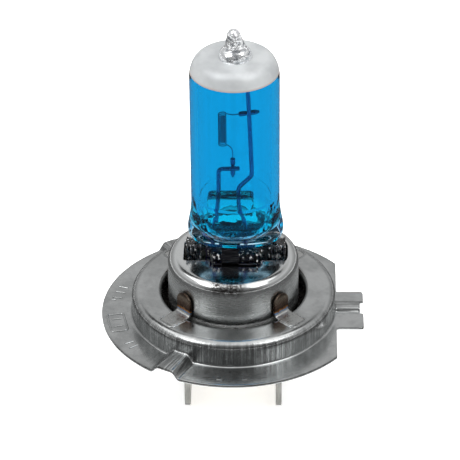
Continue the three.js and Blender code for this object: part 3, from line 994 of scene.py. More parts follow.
def _ring_at(
    path: Row,
    frames: list[tuple[Row, Row]],
    lengths: Row,
    distance: float,
    radius: float,
    angles: Row,
    flatten: Callable[[float], Pair] | None,
) -> Row:
    """Makes one ring of points across a path.

    Args:
        path: The path's points.
        frames: The two directions across it at each.
        lengths: How far along it each lies.
        distance: How far along it the ring lies.
        radius: The ring's radius.
        angles: The points' angles round it.
        flatten: Gives its two half-widths at a share of the length.

    Returns:
        The ring's points.
    """
    k = min(int(np.searchsorted(lengths, distance, side="right")) - 1, len(path) - 2)
    part = (distance - lengths[k]) / (lengths[k + 1] - lengths[k])
    centre = path[k] + (path[k + 1] - path[k]) * part
    across, other = (frames[k][i] * (1 - part) + frames[k + 1][i] * part for i in (0, 1))
    wide, deep = flatten(distance / lengths[-1]) if flatten else (1.0, 1.0)
    round_once = np.outer(np.cos(angles) * wide, across) + np.outer(np.sin(angles) * deep, other)
    return centre + radius * round_once


def bevelled_prism(
    name: str,
    outline: Sequence[Pair],
    x0: float,
    x1: float,
    bevel: float,
    material: Material,
) -> Piece:
    """An outline in the YZ plane drawn out along X, with every sharp edge rounded.

    Args:
        name: The piece's name.
        outline: y, z points.
        x0: Where it starts along X.
        x1: Where it ends.
        bevel: The rounding's width.
        material: Its finish.

    Returns:
        The finished object.
    """
    parts = MeshParts()
    loop = np.array(outline)
    rows = [np.column_stack([np.full(len(loop), x), loop]) for x in (x0, x1)]
    parts.add_shell(rows)
    piece = parts.to_object(name, [material])
    rounding = piece.modifiers.new("rounding", "BEVEL")
    rounding.width = bevel * MM
    rounding.segments = 3
    rounding.limit_method = "ANGLE"
    rounding.angle_limit = math.radians(35)
    return settle(piece)


def settle(piece: Piece, crisp: float = 40) -> Piece:
    """Turns a piece's modifiers into plain mesh and removes them.

    Args:
        piece: The piece.
        crisp: Edges bent more than this many degrees stay sharp.

    Returns:
        The same piece.
    """
    depsgraph = bpy.context.evaluated_depsgraph_get()
    depsgraph.update()
    plain = bpy.data.meshes.new_from_object(piece.evaluated_get(depsgraph))
    piece.modifiers.clear()
    plain.name = piece.name
    piece.data = plain
    shade_smooth(plain, crisp)
    return piece


def new_group(name: str, sizes: dict[str, str]) -> tuple[Tree, dict[str, str], Any]:
    """Starts a Geometry Nodes group.

    Args:
        name: The group's name.
        sizes: The socket type of each named input.

    Returns:
        The group, each input's identifier by name, and the node that hands the inputs out.
    """
    tree = bpy.data.node_groups.new(name, "GeometryNodeTree")
    tree.interface.new_socket("Geometry", in_out="INPUT", socket_type="NodeSocketGeometry")
    tree.interface.new_socket("Geometry", in_out="OUTPUT", socket_type="NodeSocketGeometry")
    names = {
        label: tree.interface.new_socket(label, in_out="INPUT", socket_type=kind).identifier
        for label, kind in sizes.items()
    }
    return tree, names, add_node(tree, "NodeGroupInput")


def finish_group(tree: Tree, shape: Any, finish: Any) -> None:
    """Ends a Geometry Nodes group with a real, dressed mesh.

    Args:
        tree: The group.
        shape: The node that gives the geometry.
        finish: The socket that gives the material.
    """
    real = add_node(tree, "GeometryNodeRealizeInstances", (shape,))
    dressed = add_node(tree, "GeometryNodeSetMaterial", {"Geometry": real, "Material": finish})
    add_node(tree, "NodeGroupOutput", (dressed,))


def wire_object(name: str, wires: Iterable[Row]) -> Piece:
    """Makes an object of bare edges along paths, for Geometry Nodes to dress.

    Args:
        name: The piece's name.
        wires: The paths' points, in millimetres.

    Returns:
        The object.
    """
    points: list[Row] = []
    edges: list[tuple[int, int]] = []
    for wire in wires:
        start = len(points)
        points.extend(wire)
        edges.extend((start + i, start + i + 1) for i in range(len(wire) - 1))
    mesh = bpy.data.meshes.new(name)
    mesh.from_pydata([tuple(p * MM) for p in points], edges, [])
    return link_object(name, mesh)


# ---------------------------------------- prefocus ring


class Edge(Enum):
    """Which straight of the ring's profile a point belongs to."""

    FIXED = 0
    FLANGE = 1


@dataclass
class PrefocusRing:
    """The drawn steel ring: annular plate, wall, flange with two bosses, keying tab and four weld tongues."""

    sheet: float = 0.4
    radius: float = 13.0
    flange_radius: float = 16.9
    plate_top: float = 3.4
    plate_bend: float = 1.05
    fillet: float = 0.3
    hole_radius: float = 9.2
    lip_depth: float = 1.1
    flat_x: float = 13.2
    tab_reach: float = 16.65
    tab_low: float = -4.25
    tab_high: float = 3.95
    tab_rise: float = 0.45
    tab_ridge: tuple[float, float, float, float] = (-0.8, -0.4, 0.7, 1.8)
    notch_depth: float = 0.45
    notch_low: float = -0.95
    notch_high: float = 1.55
    boss_angles: Pair = (120.0, -120.0)
    boss_rise: float = 1.0
    boss_line: tuple[float, float, float, float] = (-2.1, -0.7, 1.05, 2.1)
    tongue_angles: tuple[float, ...] = (45.0, 135.0, 225.0, 315.0)
    tongue_width: float = 2.4
    tongue_top: float = 6.4
    tongue_thickness: float = 0.35
    tongue_inner: float = 8.4
    tongue_root: float = 11.7
    tongue_proud: float = 0.1
    edge_round: float = 0.09

    def outline(self) -> Row:
        """Draws the flange's outer edge with the straight, the keying tab and its end notch.

        Returns:
            The edge as x, y points.
        """
        cut = math.sqrt(self.flange_radius**2 - self.flat_x**2)
        half_angle = math.atan2(cut, self.flat_x)
        notch_x = self.tab_reach - self.notch_depth
        corner, soft = 0.45, 0.25
        corners = [
            (self.tab_reach, self.notch_high + 0.12, 0.15),
            (self.tab_reach, self.tab_high, corner),
            (self.flat_x, self.tab_high, soft),
            (self.flat_x, cut, 0.12),
        ]
        for angle in np.linspace(half_angle, 2 * math.pi - half_angle, 420)[1:-1]:
            corners.append((self.flange_radius * math.cos(angle), self.flange_radius * math.sin(angle), 0.0))
        corners += [
            (self.flat_x, -cut, 0.12),
            (self.flat_x, self.tab_low, soft),
            (self.tab_reach, self.tab_low, corner),
            (self.tab_reach, self.notch_low - 0.12, 0.15),
            (notch_x, self.notch_low, 0.15),
            (notch_x, self.notch_high, 0.15),
        ]
        loop = rounded_outline(corners)
        return finely(np.vstack([loop, loop[:1]]), 0.34)[:-1]

    def _angles_and_reach(self) -> tuple[Row, Row]:
        """Measures the flange's reach round the ring.

        Returns:
            Angles in order, and how far the flange reaches at each.
        """
        edge = self.outline()
        angles = np.unwrap(np.arctan2(edge[:, 1], edge[:, 0]))
        reach = np.hypot(edge[:, 0], edge[:, 1])
        order = np.argsort(angles)
        angles, reach = angles[order], reach[order]
        start = angles[0]
        extra = start + np.linspace(0, 2 * math.pi, 330, endpoint=False)
        both = np.sort(np.concatenate([angles, extra]))
        keep = np.concatenate([[True], np.diff(both) > 5e-4])
        both = both[keep & (both < start + 2 * math.pi - 5e-4)]
        return both, np.interp(both, np.append(angles, start + 2 * math.pi), np.append(reach, reach[0]))

    def pressed_height(self, x: Row, y: Row) -> Row:
        """Finds how far the press lifts the sheet: two bosses and the tab's ridge.

        Args:
            x: The places' x.
            y: The places' y.

        Returns:
            The lift at each place.
        """
        height = np.zeros_like(x)
        for angle in self.boss_angles:
            turn = math.radians(angle)
            outward = x * math.cos(turn) + y * math.sin(turn)
            across = y * math.cos(turn) - x * math.sin(turn)
            low, crest_low, crest_high, high = self.boss_line
            ridge = smooth(low, crest_low, across) * smooth(high, crest_high, across)
            height += self.boss_rise * ridge * smooth(10.0, 12.0, outward)
        low, crest_low, crest_high, high = self.tab_ridge
        ridge = smooth(low, crest_low, y) * smooth(high, crest_high, y)
        return height + self.tab_rise * ridge * smooth(12.4, 13.0, x)

    def profile(self) -> list[tuple[float, float, Edge, float]]:
        """The sheet's section: radius, height, which straight it is on, and its share of the flange's width.

        Returns:
            Points in order round the section, from the lip over the top to the edge and back underneath.
        """
        sheet, fixed, flange = self.sheet, Edge.FIXED, Edge.FLANGE
        bend_at = (self.radius - self.plate_bend, self.plate_top - self.plate_bend)
        lip_at = (self.hole_radius + self.plate_bend / 2, self.plate_top - self.plate_bend / 2)
        lip_bend = self.plate_bend / 2
        foot_at = (self.radius + self.fillet, self.fillet)
        points: list[tuple[float, float, Edge, float]] = []

        def fixed_points(pairs: Iterable[Pair]) -> None:
            """Adds points that don't follow the flange's width."""
            points.extend((r, z, fixed, 0.0) for r, z in pairs)

        lip_foot, ease = self.plate_top - self.lip_depth, 0.06
        fixed_points([(self.hole_radius + ease, lip_foot), (self.hole_radius, lip_foot + ease)])
        fixed_points(arc_points(lip_at, lip_bend, lip_bend, 180, 90, 9))
        fixed_points((r, self.plate_top) for r in np.linspace(lip_at[0], bend_at[0], 12)[1:-1])
        fixed_points(arc_points(bend_at, self.plate_bend, self.plate_bend, 90, 0, 12))
        fixed_points((self.radius, z) for z in np.linspace(bend_at[1], self.fillet, 9)[1:-1])
        fixed_points(arc_points(foot_at, self.fillet, self.fillet, 180, 270, 6))
        points.extend((0.0, 0.0, flange, share) for share in np.linspace(0, 1, 16)[1:])
        for degrees in (45, 0, -45):
            spread = self.edge_round * math.cos(math.radians(degrees))
            turned = self.edge_round * math.sin(math.radians(degrees))
            rise = -sheet / 2 + (sheet / 2 - self.edge_round) * np.sign(degrees) + turned
            points.append((spread, rise, flange, 1.0))
        points.extend((0.0, -sheet, flange, share) for share in np.linspace(1, 0, 12)[:-1])
        under_fillet = self.fillet + sheet
        fixed_points(arc_points(foot_at, under_fillet, under_fillet, 270, 180, 6))
        fixed_points((self.radius - sheet, z) for z in np.linspace(self.fillet, bend_at[1], 6)[1:-1])
        inner_bend = self.plate_bend - sheet
        fixed_points(arc_points(bend_at, inner_bend, inner_bend, 0, 90, 8))
        fixed_points((r, self.plate_top - sheet) for r in np.linspace(bend_at[0], lip_at[0], 8)[1:-1])
        inner_lip = lip_bend - sheet
        fixed_points(arc_points(lip_at, inner_lip, inner_lip, 90, 180, 4))
        outside = self.hole_radius + sheet
        fixed_points([(outside, lip_foot + ease), (outside - ease, lip_foot)])
        return points

    def _body_rows(self) -> list[Row]:
        """Carries the sheet's section round the ring.

        Returns:
            A row for each point of the section.
        """
        angles, reach = self._angles_and_reach()
        cos, sin = np.cos(angles), np.sin(angles)
        flange_start = self.radius + self.fillet
        rows = []
        for radius, height, edge, share in self.profile():
            if edge is Edge.FLANGE:
                radii = flange_start + (reach - self.edge_round - flange_start) * share + radius
            else:
                radii = np.full_like(angles, radius)
            x, y = radii * cos, radii * sin
            lift = self.pressed_height(x, y)
            if edge is Edge.FIXED:
                # the press's lift runs out up the drawn wall, and the plate never moves
                fade = 1 - smooth(0.0, 2.3, height) if radius > self.radius - 2 * self.sheet else 0.0
                lift = lift * fade
            rows.append(np.column_stack([x, y, height + lift]))
        return rows

    def _tongue_rows(self, angle: float) -> list[Row]:
        """Bends a weld tongue: a flat root on the plate, a bend, and a leaf with a round top.

        Args:
            angle: Its place round the ring, in degrees.

        Returns:
            Its rows.
        """
        half, thick = self.tongue_width / 2, self.tongue_thickness
        base = self.plate_top + self.tongue_proud - thick
        inner, outer = self.tongue_inner, self.tongue_inner + thick
        bend = 0.35
        bend_at = (outer + bend, self.plate_top + self.tongue_proud + bend)
        centre: list[tuple[float, float, float, float]] = []  # outer radius side, inner side as (r, z) pairs
        flats = np.linspace(self.tongue_root, bend_at[0], 9)
        for r in flats[:-1]:
            centre.append((r, self.plate_top + self.tongue_proud, r, base))
        for degrees in np.linspace(270, 180, 7):
            a = math.radians(degrees)
            centre.append((
                bend_at[0] + bend * math.cos(a), bend_at[1] + bend * math.sin(a),
                bend_at[0] + (bend + thick) * math.cos(a), bend_at[1] + (bend + thick) * math.sin(a),
            ))
        for z in np.linspace(bend_at[1], self.tongue_top, 15)[1:]:
            centre.append((outer, z, inner, z))
        turn = math.radians(angle)
        rows = []
        for r_out, z_out, r_in, z_in in centre:
            from_root = self.tongue_root - max(r_out, r_in)
            from_top = self.tongue_top - z_out
            width = half
            if r_out > bend_at[0] and from_root < 0.35:
                width = half * (0.78 + 0.22 * math.sqrt(max(0.0, 1 - (1 - from_root / 0.35) ** 2)))
            if r_out <= outer + 1e-6 and from_top < half:
                width = half * math.sqrt(max(0.0, 1 - (1 - max(from_top, 0.01) / half) ** 2))
            rows.append(self._strip_section(r_out, z_out, r_in, z_in, width, turn))
        return rows

    @staticmethod
    def _strip_section(r_out: float, z_out: float, r_in: float, z_in: float, half: float, turn: float) -> Row:
        """Cuts a strip's section with rounded edges.

        Args:
            r_out: Radius of its outer face.
            z_out: Height of its outer face.
            r_in: Radius of its inner face.
            z_in: Height of its inner face.
            half: Half of its width.
            turn: Its place round the ring, in radians.

        Returns:
            The section as a row.
        """
        edge = min(0.1, half * 0.4)
        sides = [(-half, 0.25), (-half + edge * 0.3, 0.06), (-half + edge, 0.0)]
        sides += [(w, 0.0) for w in np.linspace(-half + edge, half - edge, 7)[1:-1]]
        sides += [(half - edge, 0.0), (half - edge * 0.3, 0.06), (half, 0.25)]
        loop = sides + [(w, 1.0 - t) for w, t in reversed(sides)]
        points = []
        for across, t in loop:
            r, z = r_out + (r_in - r_out) * t, z_out + (z_in - z_out) * t
            x, y = r * math.cos(turn) - across * math.sin(turn), r * math.sin(turn) + across * math.cos(turn)
            points.append((x, y, z))
        return np.array(points)

    def build(self) -> Piece:
        """Builds and dresses the ring.

        Returns:
            The finished piece.
        """
        parts = MeshParts()
        parts.add_shell(self._body_rows(), wrap=True)
        steel_faces = len(parts.faces)
        for angle in self.tongue_angles:
            parts.add_shell(self._tongue_rows(angle))
        parts.slots = [0] * steel_faces + [1] * (len(parts.faces) - steel_faces)
        finishes = [DrawnStainless().material(), HeatTintedSteel().material()]
        ring = parts.to_object("prefocus_ring_fine", finishes, 50)
        return place(ring, "drawn_steel", "prefocus_ring")


# ---------------------------------------- embossed marks


@dataclass
class EmbossedMarks:
    """Plain raised strokes pressed in the flange: a rounded frame with two bars in it, and bars beside it."""

    radius: float = 15.1
    line: float = 0.14
    rise: float = 0.105
    frame_half: Pair = (1.05, 1.9)
    frame_angle: float = 192.5
    bar_angles: tuple[float, ...] = (189.5, 195.5, 161.5, 166.0, 210.5, 214.5)
    hook_angles: tuple[float, ...] = (171.0, -96.5, -85.0)
    tongue_angles: tuple[float, ...] = (45.0, 135.0, 225.0, 315.0)
    cut_half: float = 1.3
    cut_inner: float = 9.6
    cut_outer: float = 12.0
    cut_height: float = 3.4

    def strokes(self) -> list[Row]:
        """Draws the strokes.

        Returns:
            Their centre lines, in the flange's plane or on the plate.
        """
        wide, long = self.frame_half
        frame = rounded_outline([
            (-wide, -long, 0.4), (wide, -long, 0.4), (wide, long, 0.4), (-wide, long, 0.4),
        ])
        frame = np.vstack([frame, frame[:1]])
        bar = np.array([(-0.62, 0.0), (0.62, 0.0)])
        hook = np.array([(-0.62, 0.0), (0.62, 0.0), (0.62, 0.5), (0.1, 0.5)])
        strokes = [self._at(frame, self.frame_angle, self.radius)]
        # the cut round each weld tongue turns up a bright burr
        half, inner, outer = self.cut_half, self.cut_inner, self.cut_outer
        cut = rounded_outline([
            (inner, -half, 0.1), (outer, -half, 0.7), (outer, half, 0.7), (inner, half, 0.1),
        ])
        start = int(np.argmin(np.abs(cut[:, 0] - inner) + np.abs(cut[:, 1] + half)))
        cut = np.roll(cut, -start, axis=0)
        for angle in self.tongue_angles:
            strokes.append(self._at(cut, angle, 0.0, self.cut_height * self.line / self.rise))
        for angle in self.bar_angles:
            strokes.append(self._at(bar, angle, self.radius))
        for angle in self.hook_angles:
            strokes.append(self._at(hook, angle, self.radius + 0.1))
        return strokes

    @staticmethod
    def _at(shape: Row, angle: float, radius: float, height: float = 0.0) -> Row:
        """Places a flat shape on the flange or on the plate, its X outwards.

        Args:
            shape: Its x, y points.
            angle: Its place round the ring, in degrees.
            radius: How far out its middle lies.
            height: How high it lies.

        Returns:
            The placed points.
        """
        turn = math.radians(angle)
        outward = radius + shape[:, 0]
        x = outward * math.cos(turn) - shape[:, 1] * math.sin(turn)
        y = outward * math.sin(turn) + shape[:, 1] * math.cos(turn)
        return np.column_stack([x, y, np.full(len(shape), height)])

    def _tree(self) -> tuple[Tree, dict[str, str]]:
        """Makes the Geometry Nodes that lay a low rounded bead along every stroke.

        Returns:
            The group and its inputs' identifiers.
        """
        tree, names, given = new_group("embossed_bead", {
            "Bead Radius": "NodeSocketFloat", "Flatten": "NodeSocketFloat", "Finish": "NodeSocketMaterial",
        })
        curves = add_node(tree, "GeometryNodeMeshToCurve", {"Mesh": given.outputs["Geometry"]})
        ring = add_node(tree, "GeometryNodeCurvePrimitiveCircle", {
            "Resolution": 10, "Radius": given.outputs["Bead Radius"],
        })
        bead = add_node(tree, "GeometryNodeCurveToMesh", {
            "Curve": curves, "Profile Curve": ring, "Fill Caps": True,
        })
        factor = add_node(tree, "ShaderNodeCombineXYZ", (1.0, 1.0, given.outputs["Flatten"]))
        where = add_node(tree, "GeometryNodeInputPosition")
        low = add_node(tree, VECTOR, (where, factor), operation="MULTIPLY")
        flat = add_node(tree, "GeometryNodeSetPosition", {"Geometry": bead, "Position": low})
        finish_group(tree, flat, given.outputs["Finish"])
        return tree, names

    def build(self) -> Piece:
        """Lays the beads and settles them as one mesh.

        Returns:
            The finished piece.
        """
        marks = wire_object("flange_marks", self.strokes())
        tree, names = self._tree()
        beads = marks.modifiers.new("beads", "NODES")
        beads.node_group = tree
        beads[names["Bead Radius"]] = self.line * MM
        beads[names["Flatten"]] = self.rise / self.line
        beads[names["Finish"]] = DrawnStainless().material()
        return place(settle(marks), "drawn_steel")


# ---------------------------------------- shell, plug, blades and clip


@dataclass
class CapShell:
    """The buffed steel cup that holds the seal, with the seal's opening in its top."""

    radius: float = 8.3
    wall: float = 0.4
    top: float = 8.8
    bottom: float = -5.5
    shoulder: float = 1.25
    glass_x: float = 0.35
    wing_x: float = 6.55
    wing_y: float = 2.15
    block_x: float = 3.2
    block_y: float = 3.55
    collar_radius: float = 12.2
    collar_top: float = -0.2
    collar_bottom: float = -0.6
    points_round: int = 288

    def opening(self) -> Row:
        """Draws the seal's opening.

        Returns:
            Its radius at each angle round the shell.
        """
        wings = [
            (self.glass_x + self.wing_x, self.wing_y, 0.3),
            (self.block_x + 0.3, self.wing_y, 0.2),
            (self.block_x + 0.3, self.block_y, 0.3),
        ]
        quarter = wings + [(-x + 0.6, y, r) for x, y, r in reversed(wings[1:])]
        quarter.append((self.glass_x - self.wing_x, self.wing_y, 0.3))
        corners = quarter + [(x, -y, r) for x, y, r in reversed(quarter)]
        loop = finely(np.vstack([rounded_outline(corners), rounded_outline(corners)[:1]]), 0.12)[:-1]
        angles = np.unwrap(np.arctan2(loop[:, 1], loop[:, 0]))
        reach = np.hypot(loop[:, 0], loop[:, 1])
        order = np.argsort(angles)
        at = np.linspace(0, 2 * math.pi, self.points_round, endpoint=False)
        spread = np.concatenate([angles[order] - 2 * math.pi, angles[order], angles[order] + 2 * math.pi])
        return np.interp(at, spread, np.tile(reach[order], 3))

    def build(self) -> Piece:
        """Builds and dresses the shell.

        Returns:
            The finished piece.
        """
        hole = self.opening()
        round_once = circle_loop(1.0, self.points_round)
        corner = (self.radius - self.shoulder, self.top - self.shoulder)
        inside = self.shoulder - self.wall

        def at(radii: Any, z: float) -> Row:
            """A row round the shell at a height."""
            return at_height(round_once * np.broadcast_to(radii, self.points_round)[:, None], z)

        rows = [at(hole, self.top - self.wall), at(hole, self.top - 0.08)]
        rows += [at(hole + 0.025, self.top - 0.02), at(hole + 0.08, self.top)]
        for share in (0.15, 0.35, 0.6, 0.8):
            rows.append(at(hole + 0.08 + (corner[0] - hole - 0.08) * share, self.top))
        rows += [at(r, z) for r, z in arc_points(corner, self.shoulder, self.shoulder, 90, 0, 16)]
        rows += [at(self.radius, z) for z in np.linspace(corner[1], self.collar_top + 0.3, 12)[1:]]
        # the collar lies under the gap at the ring's lip; the finish paints its top and the wall above it
        # dark as shade
        rows += [at(self.radius + 0.1, self.collar_top + 0.08), at(self.radius + 0.35, self.collar_top)]
        rows += [at(r, self.collar_top) for r in np.linspace(self.radius + 1, self.collar_radius - 0.15, 4)]
        middle = (self.collar_top + self.collar_bottom) / 2
        half = (self.collar_top - self.collar_bottom) / 2
        rows += [at(r, z) for r, z in arc_points((self.collar_radius - half, middle), half, half, 70, -70, 6)]
        underside = np.linspace(self.collar_radius - half, self.radius + 0.25, 5)
        rows += [at(r, self.collar_bottom) for r in underside]
        rows += [at(self.radius, z) for z in np.linspace(self.collar_bottom - 0.25, self.bottom + 0.08, 6)]
        rows += [at(self.radius - 0.08, self.bottom), at(self.radius - self.wall + 0.08, self.bottom)]
        rows += [at(self.radius - self.wall, z) for z in np.linspace(self.bottom + 0.08, corner[1], 8)]
        rows += [at(r, z) for r, z in arc_points(corner, inside, inside, 0, 90, 8)[1:]]
        for share in (0.6, 0.3):
            rows.append(at(hole + (corner[0] - hole) * share, self.top - self.wall))
        parts = MeshParts()
        parts.add_shell(rows, wrap=True)
        shell = parts.to_object("cap_shell_fine", [PolishedStainless().material()], 50)
        return place(shell, "polished_steel", "cap_shell")


@dataclass
class InsulatorPlug:
    """The pressed ceramic plug that closes the cup, with a slot for each blade's shank in a raised pad."""

    radius: float = 7.8
    bottom: float = -5.3
    top: float = -1.2
    collar_radius: float = 6.9
    collar_top: float = -0.4
    chamfer: float = 0.3
    slot_half_x: float = 0.4
    slot_half_y: float = 2.4
    blade_xs: Pair = (-6.0, 5.8)
    dish_radius: float = 3.6
    dish_depth: float = 0.7

    def build(self) -> Piece:
        """Turns the plug, then cuts the slots.

        Returns:
            The finished piece.
        """
        profile = [(0.0, self.bottom + self.dish_depth)]
        profile += [(self.dish_radius - 0.5, self.bottom + self.dish_depth)]
        profile += [(self.dish_radius, self.bottom + 0.15)]
        profile += [(self.dish_radius + 0.15, self.bottom), (self.radius - self.chamfer, self.bottom)]
        profile += [(self.radius, self.bottom + self.chamfer)]
        profile += [(self.radius, self.top - 0.15), (self.radius - 0.15, self.top)]
        profile += [(self.collar_radius, self.top), (self.collar_radius, self.collar_top - 0.15)]
        profile += [(self.collar_radius - 0.15, self.collar_top), (0.0, self.collar_top)]
        unit = circle_loop(1.0, 128)
        parts = MeshParts()
        rows = [at_height(unit * r, z) if r > 0 else np.array([[0.0, 0.0, z]]) for r, z in profile]
        parts.add_shell(rows)
        plug = parts.to_object("insulator_plug_fine", [Steatite().material()], 30)
        cutters = []
        for x in self.blade_xs:
            tool = MeshParts()
            slot = rounded_box_loop(self.slot_half_x, self.slot_half_y, 0.15, 32)
            tool.add_shell([at_height(slot, z, x) for z in (self.bottom - 1, self.collar_top + 1)])
            cutter = tool.to_object("slot_cutter", [Steatite().material()])
            cutters.append(cutter)
            slotting = plug.modifiers.new("slot", "BOOLEAN")
            slotting.operation = "DIFFERENCE"
            slotting.object = cutter
        settle(plug, 30)
        for cutter in cutters:
            bpy.data.objects.remove(cutter)
        return place(plug, "steatite", "insulator_plug")


class Side(Enum):
    """Which of the lamp's two circuits a piece belongs to."""

    LEFT = -1
    RIGHT = 1

    @property
    def word(self) -> str:
        """The side's name as the pieces carry it."""
        return self.name.lower()


@dataclass
class ContactBlade:
    """A push-on blade of nickel-plated strip, stepped in to the shank that runs up through the plug."""

    side: Side
    thickness: float = 0.8
    width: float = 6.3
    bottom: float = -13.4
    shoulder: float = -5.6
    shank_thickness: float = 0.6
    shank_width: float = 4.6
    top: float = 1.6
    pitch: float = 11.8
    mid_x: float = -0.1
    chamfer: float = 0.9

    @property
    def x(self) -> float:
        """The middle of the blade's thickness."""
        return self.mid_x + self.side.value * self.pitch / 2

    def build(self) -> Piece:
        """Builds the blade and its shank as one piece.

        Returns:
            The finished piece.
        """
        half, neck = self.width / 2, self.shank_width / 2
        outline = [
            (-half + self.chamfer / 2, self.bottom),
            (half - self.chamfer / 2, self.bottom),
            (half, self.bottom + self.chamfer),
            (half, self.shoulder),
            (-half, self.shoulder),
            (-half, self.bottom + self.chamfer),
        ]
        thick, thin = self.thickness / 2, self.shank_thickness / 2
        plate, name = NickelPlate().material(), f"contact_blade_{self.side.word}"
        strip = bevelled_prism(f"{name}_fine", outline, self.x - thick, self.x + thick, 0.14, plate)
        lowest = self.shoulder - thin
        shank_outline = [(-neck, lowest), (neck, lowest), (neck, self.top), (-neck, self.top)]
        shank = bevelled_prism("shank", shank_outline, self.x - thin, self.x + thin, 0.08, plate)
        joining = strip.modifiers.new("shank", "BOOLEAN")
        joining.operation = "UNION"
        joining.object = shank
        settle(strip)
        bpy.data.objects.remove(shank)
        return place(strip, "blade_metal", name)


class Face(Enum):
    """Which side of the seal a piece lies on; the value is its side of the Y axis."""

    FRONT = -1
    REAR = 1

    @property
    def word(self) -> str:
        """The side as piece names spell it."""
        return self.name.lower()


@dataclass
class SealClip:
    """One leaf of the blued spring clip that grips the seal's thick middle, front or rear."""

    face: Face
    sheet: float = 0.35
    half_width: float = 2.7
    gap: float = 0.1
    bottom: float = 4.0
    top: float = 9.0
    foot_reach: float = 1.1
    foot_width: float = 1.1
    foot_top: float = 8.3
    block_depth: float = 2.9
    mid_x: float = 0.3
    panel_x: float = -0.3
    panel_half: float = 1.08
    panel_sheet: float = 0.12
    panel_top: float = 11.2

    def _prism(self, parts: MeshParts, corners: Sequence[Point], low: float, high: float) -> None:
        """Adds an upright prism with eased edges.

        Args:
            parts: Where it goes.
            corners: Its outline as X, Y and corner radius.
            low: Its bottom.
            high: Its top.
        """
        loop = rounded_outline(list(corners))
        middle = (loop.min(axis=0) + loop.max(axis=0)) / 2
        ease = 0.05
        small = middle + (loop - middle) * (1 - 2 * ease / np.ptp(loop, axis=0))
        heights = np.linspace(low + ease, high - ease, 8)
        rows = [at_height(small, low), *(at_height(loop, z) for z in heights), at_height(small, high)]
        parts.add_shell(rows)

    def build(self) -> Piece:
        """Builds the leaf, with its sunk middle panel, and the two feet that stand out at its corners.

        Returns:
            The finished piece.
        """
        sign = self.face.value
        inner = sign * (self.block_depth + self.gap)
        outer, sunk = inner + sign * self.sheet, inner + sign * self.panel_sheet
        left, right = self.mid_x - self.half_width, self.mid_x + self.half_width
        low_x, high_x = self.panel_x - self.panel_half, self.panel_x + self.panel_half
        parts = MeshParts()
        self._prism(parts, [
            (left, inner, 0.04), (right, inner, 0.04), (right, outer, 0.08), (high_x, outer, 0.05),
            (high_x, sunk, 0.03), (low_x, sunk, 0.03), (low_x, outer, 0.05), (left, outer, 0.08),
        ], self.bottom, self.top)
        self._prism(parts, [
            (low_x, inner, 0.02), (high_x, inner, 0.02), (high_x, sunk, 0.03), (low_x, sunk, 0.03),
        ], self.top - 0.1, self.panel_top)
        toe, heel = outer + sign * self.foot_reach, outer - sign * 0.05
        for x0 in (left, right - self.foot_width):
            x1 = x0 + self.foot_width
            self._prism(parts, [
                (x0, heel, 0.03), (x1, heel, 0.03), (x1, toe, 0.25), (x0, toe, 0.25),
            ], self.foot_top - self.sheet, self.foot_top)
        leaf = parts.to_object(f"seal_clip_{self.face.word}_fine", [SpringSteel().material()], 40)
        return place(leaf, "spring_steel", f"seal_clip_{self.face.word}")


# ---------------------------------------- quartz capsule


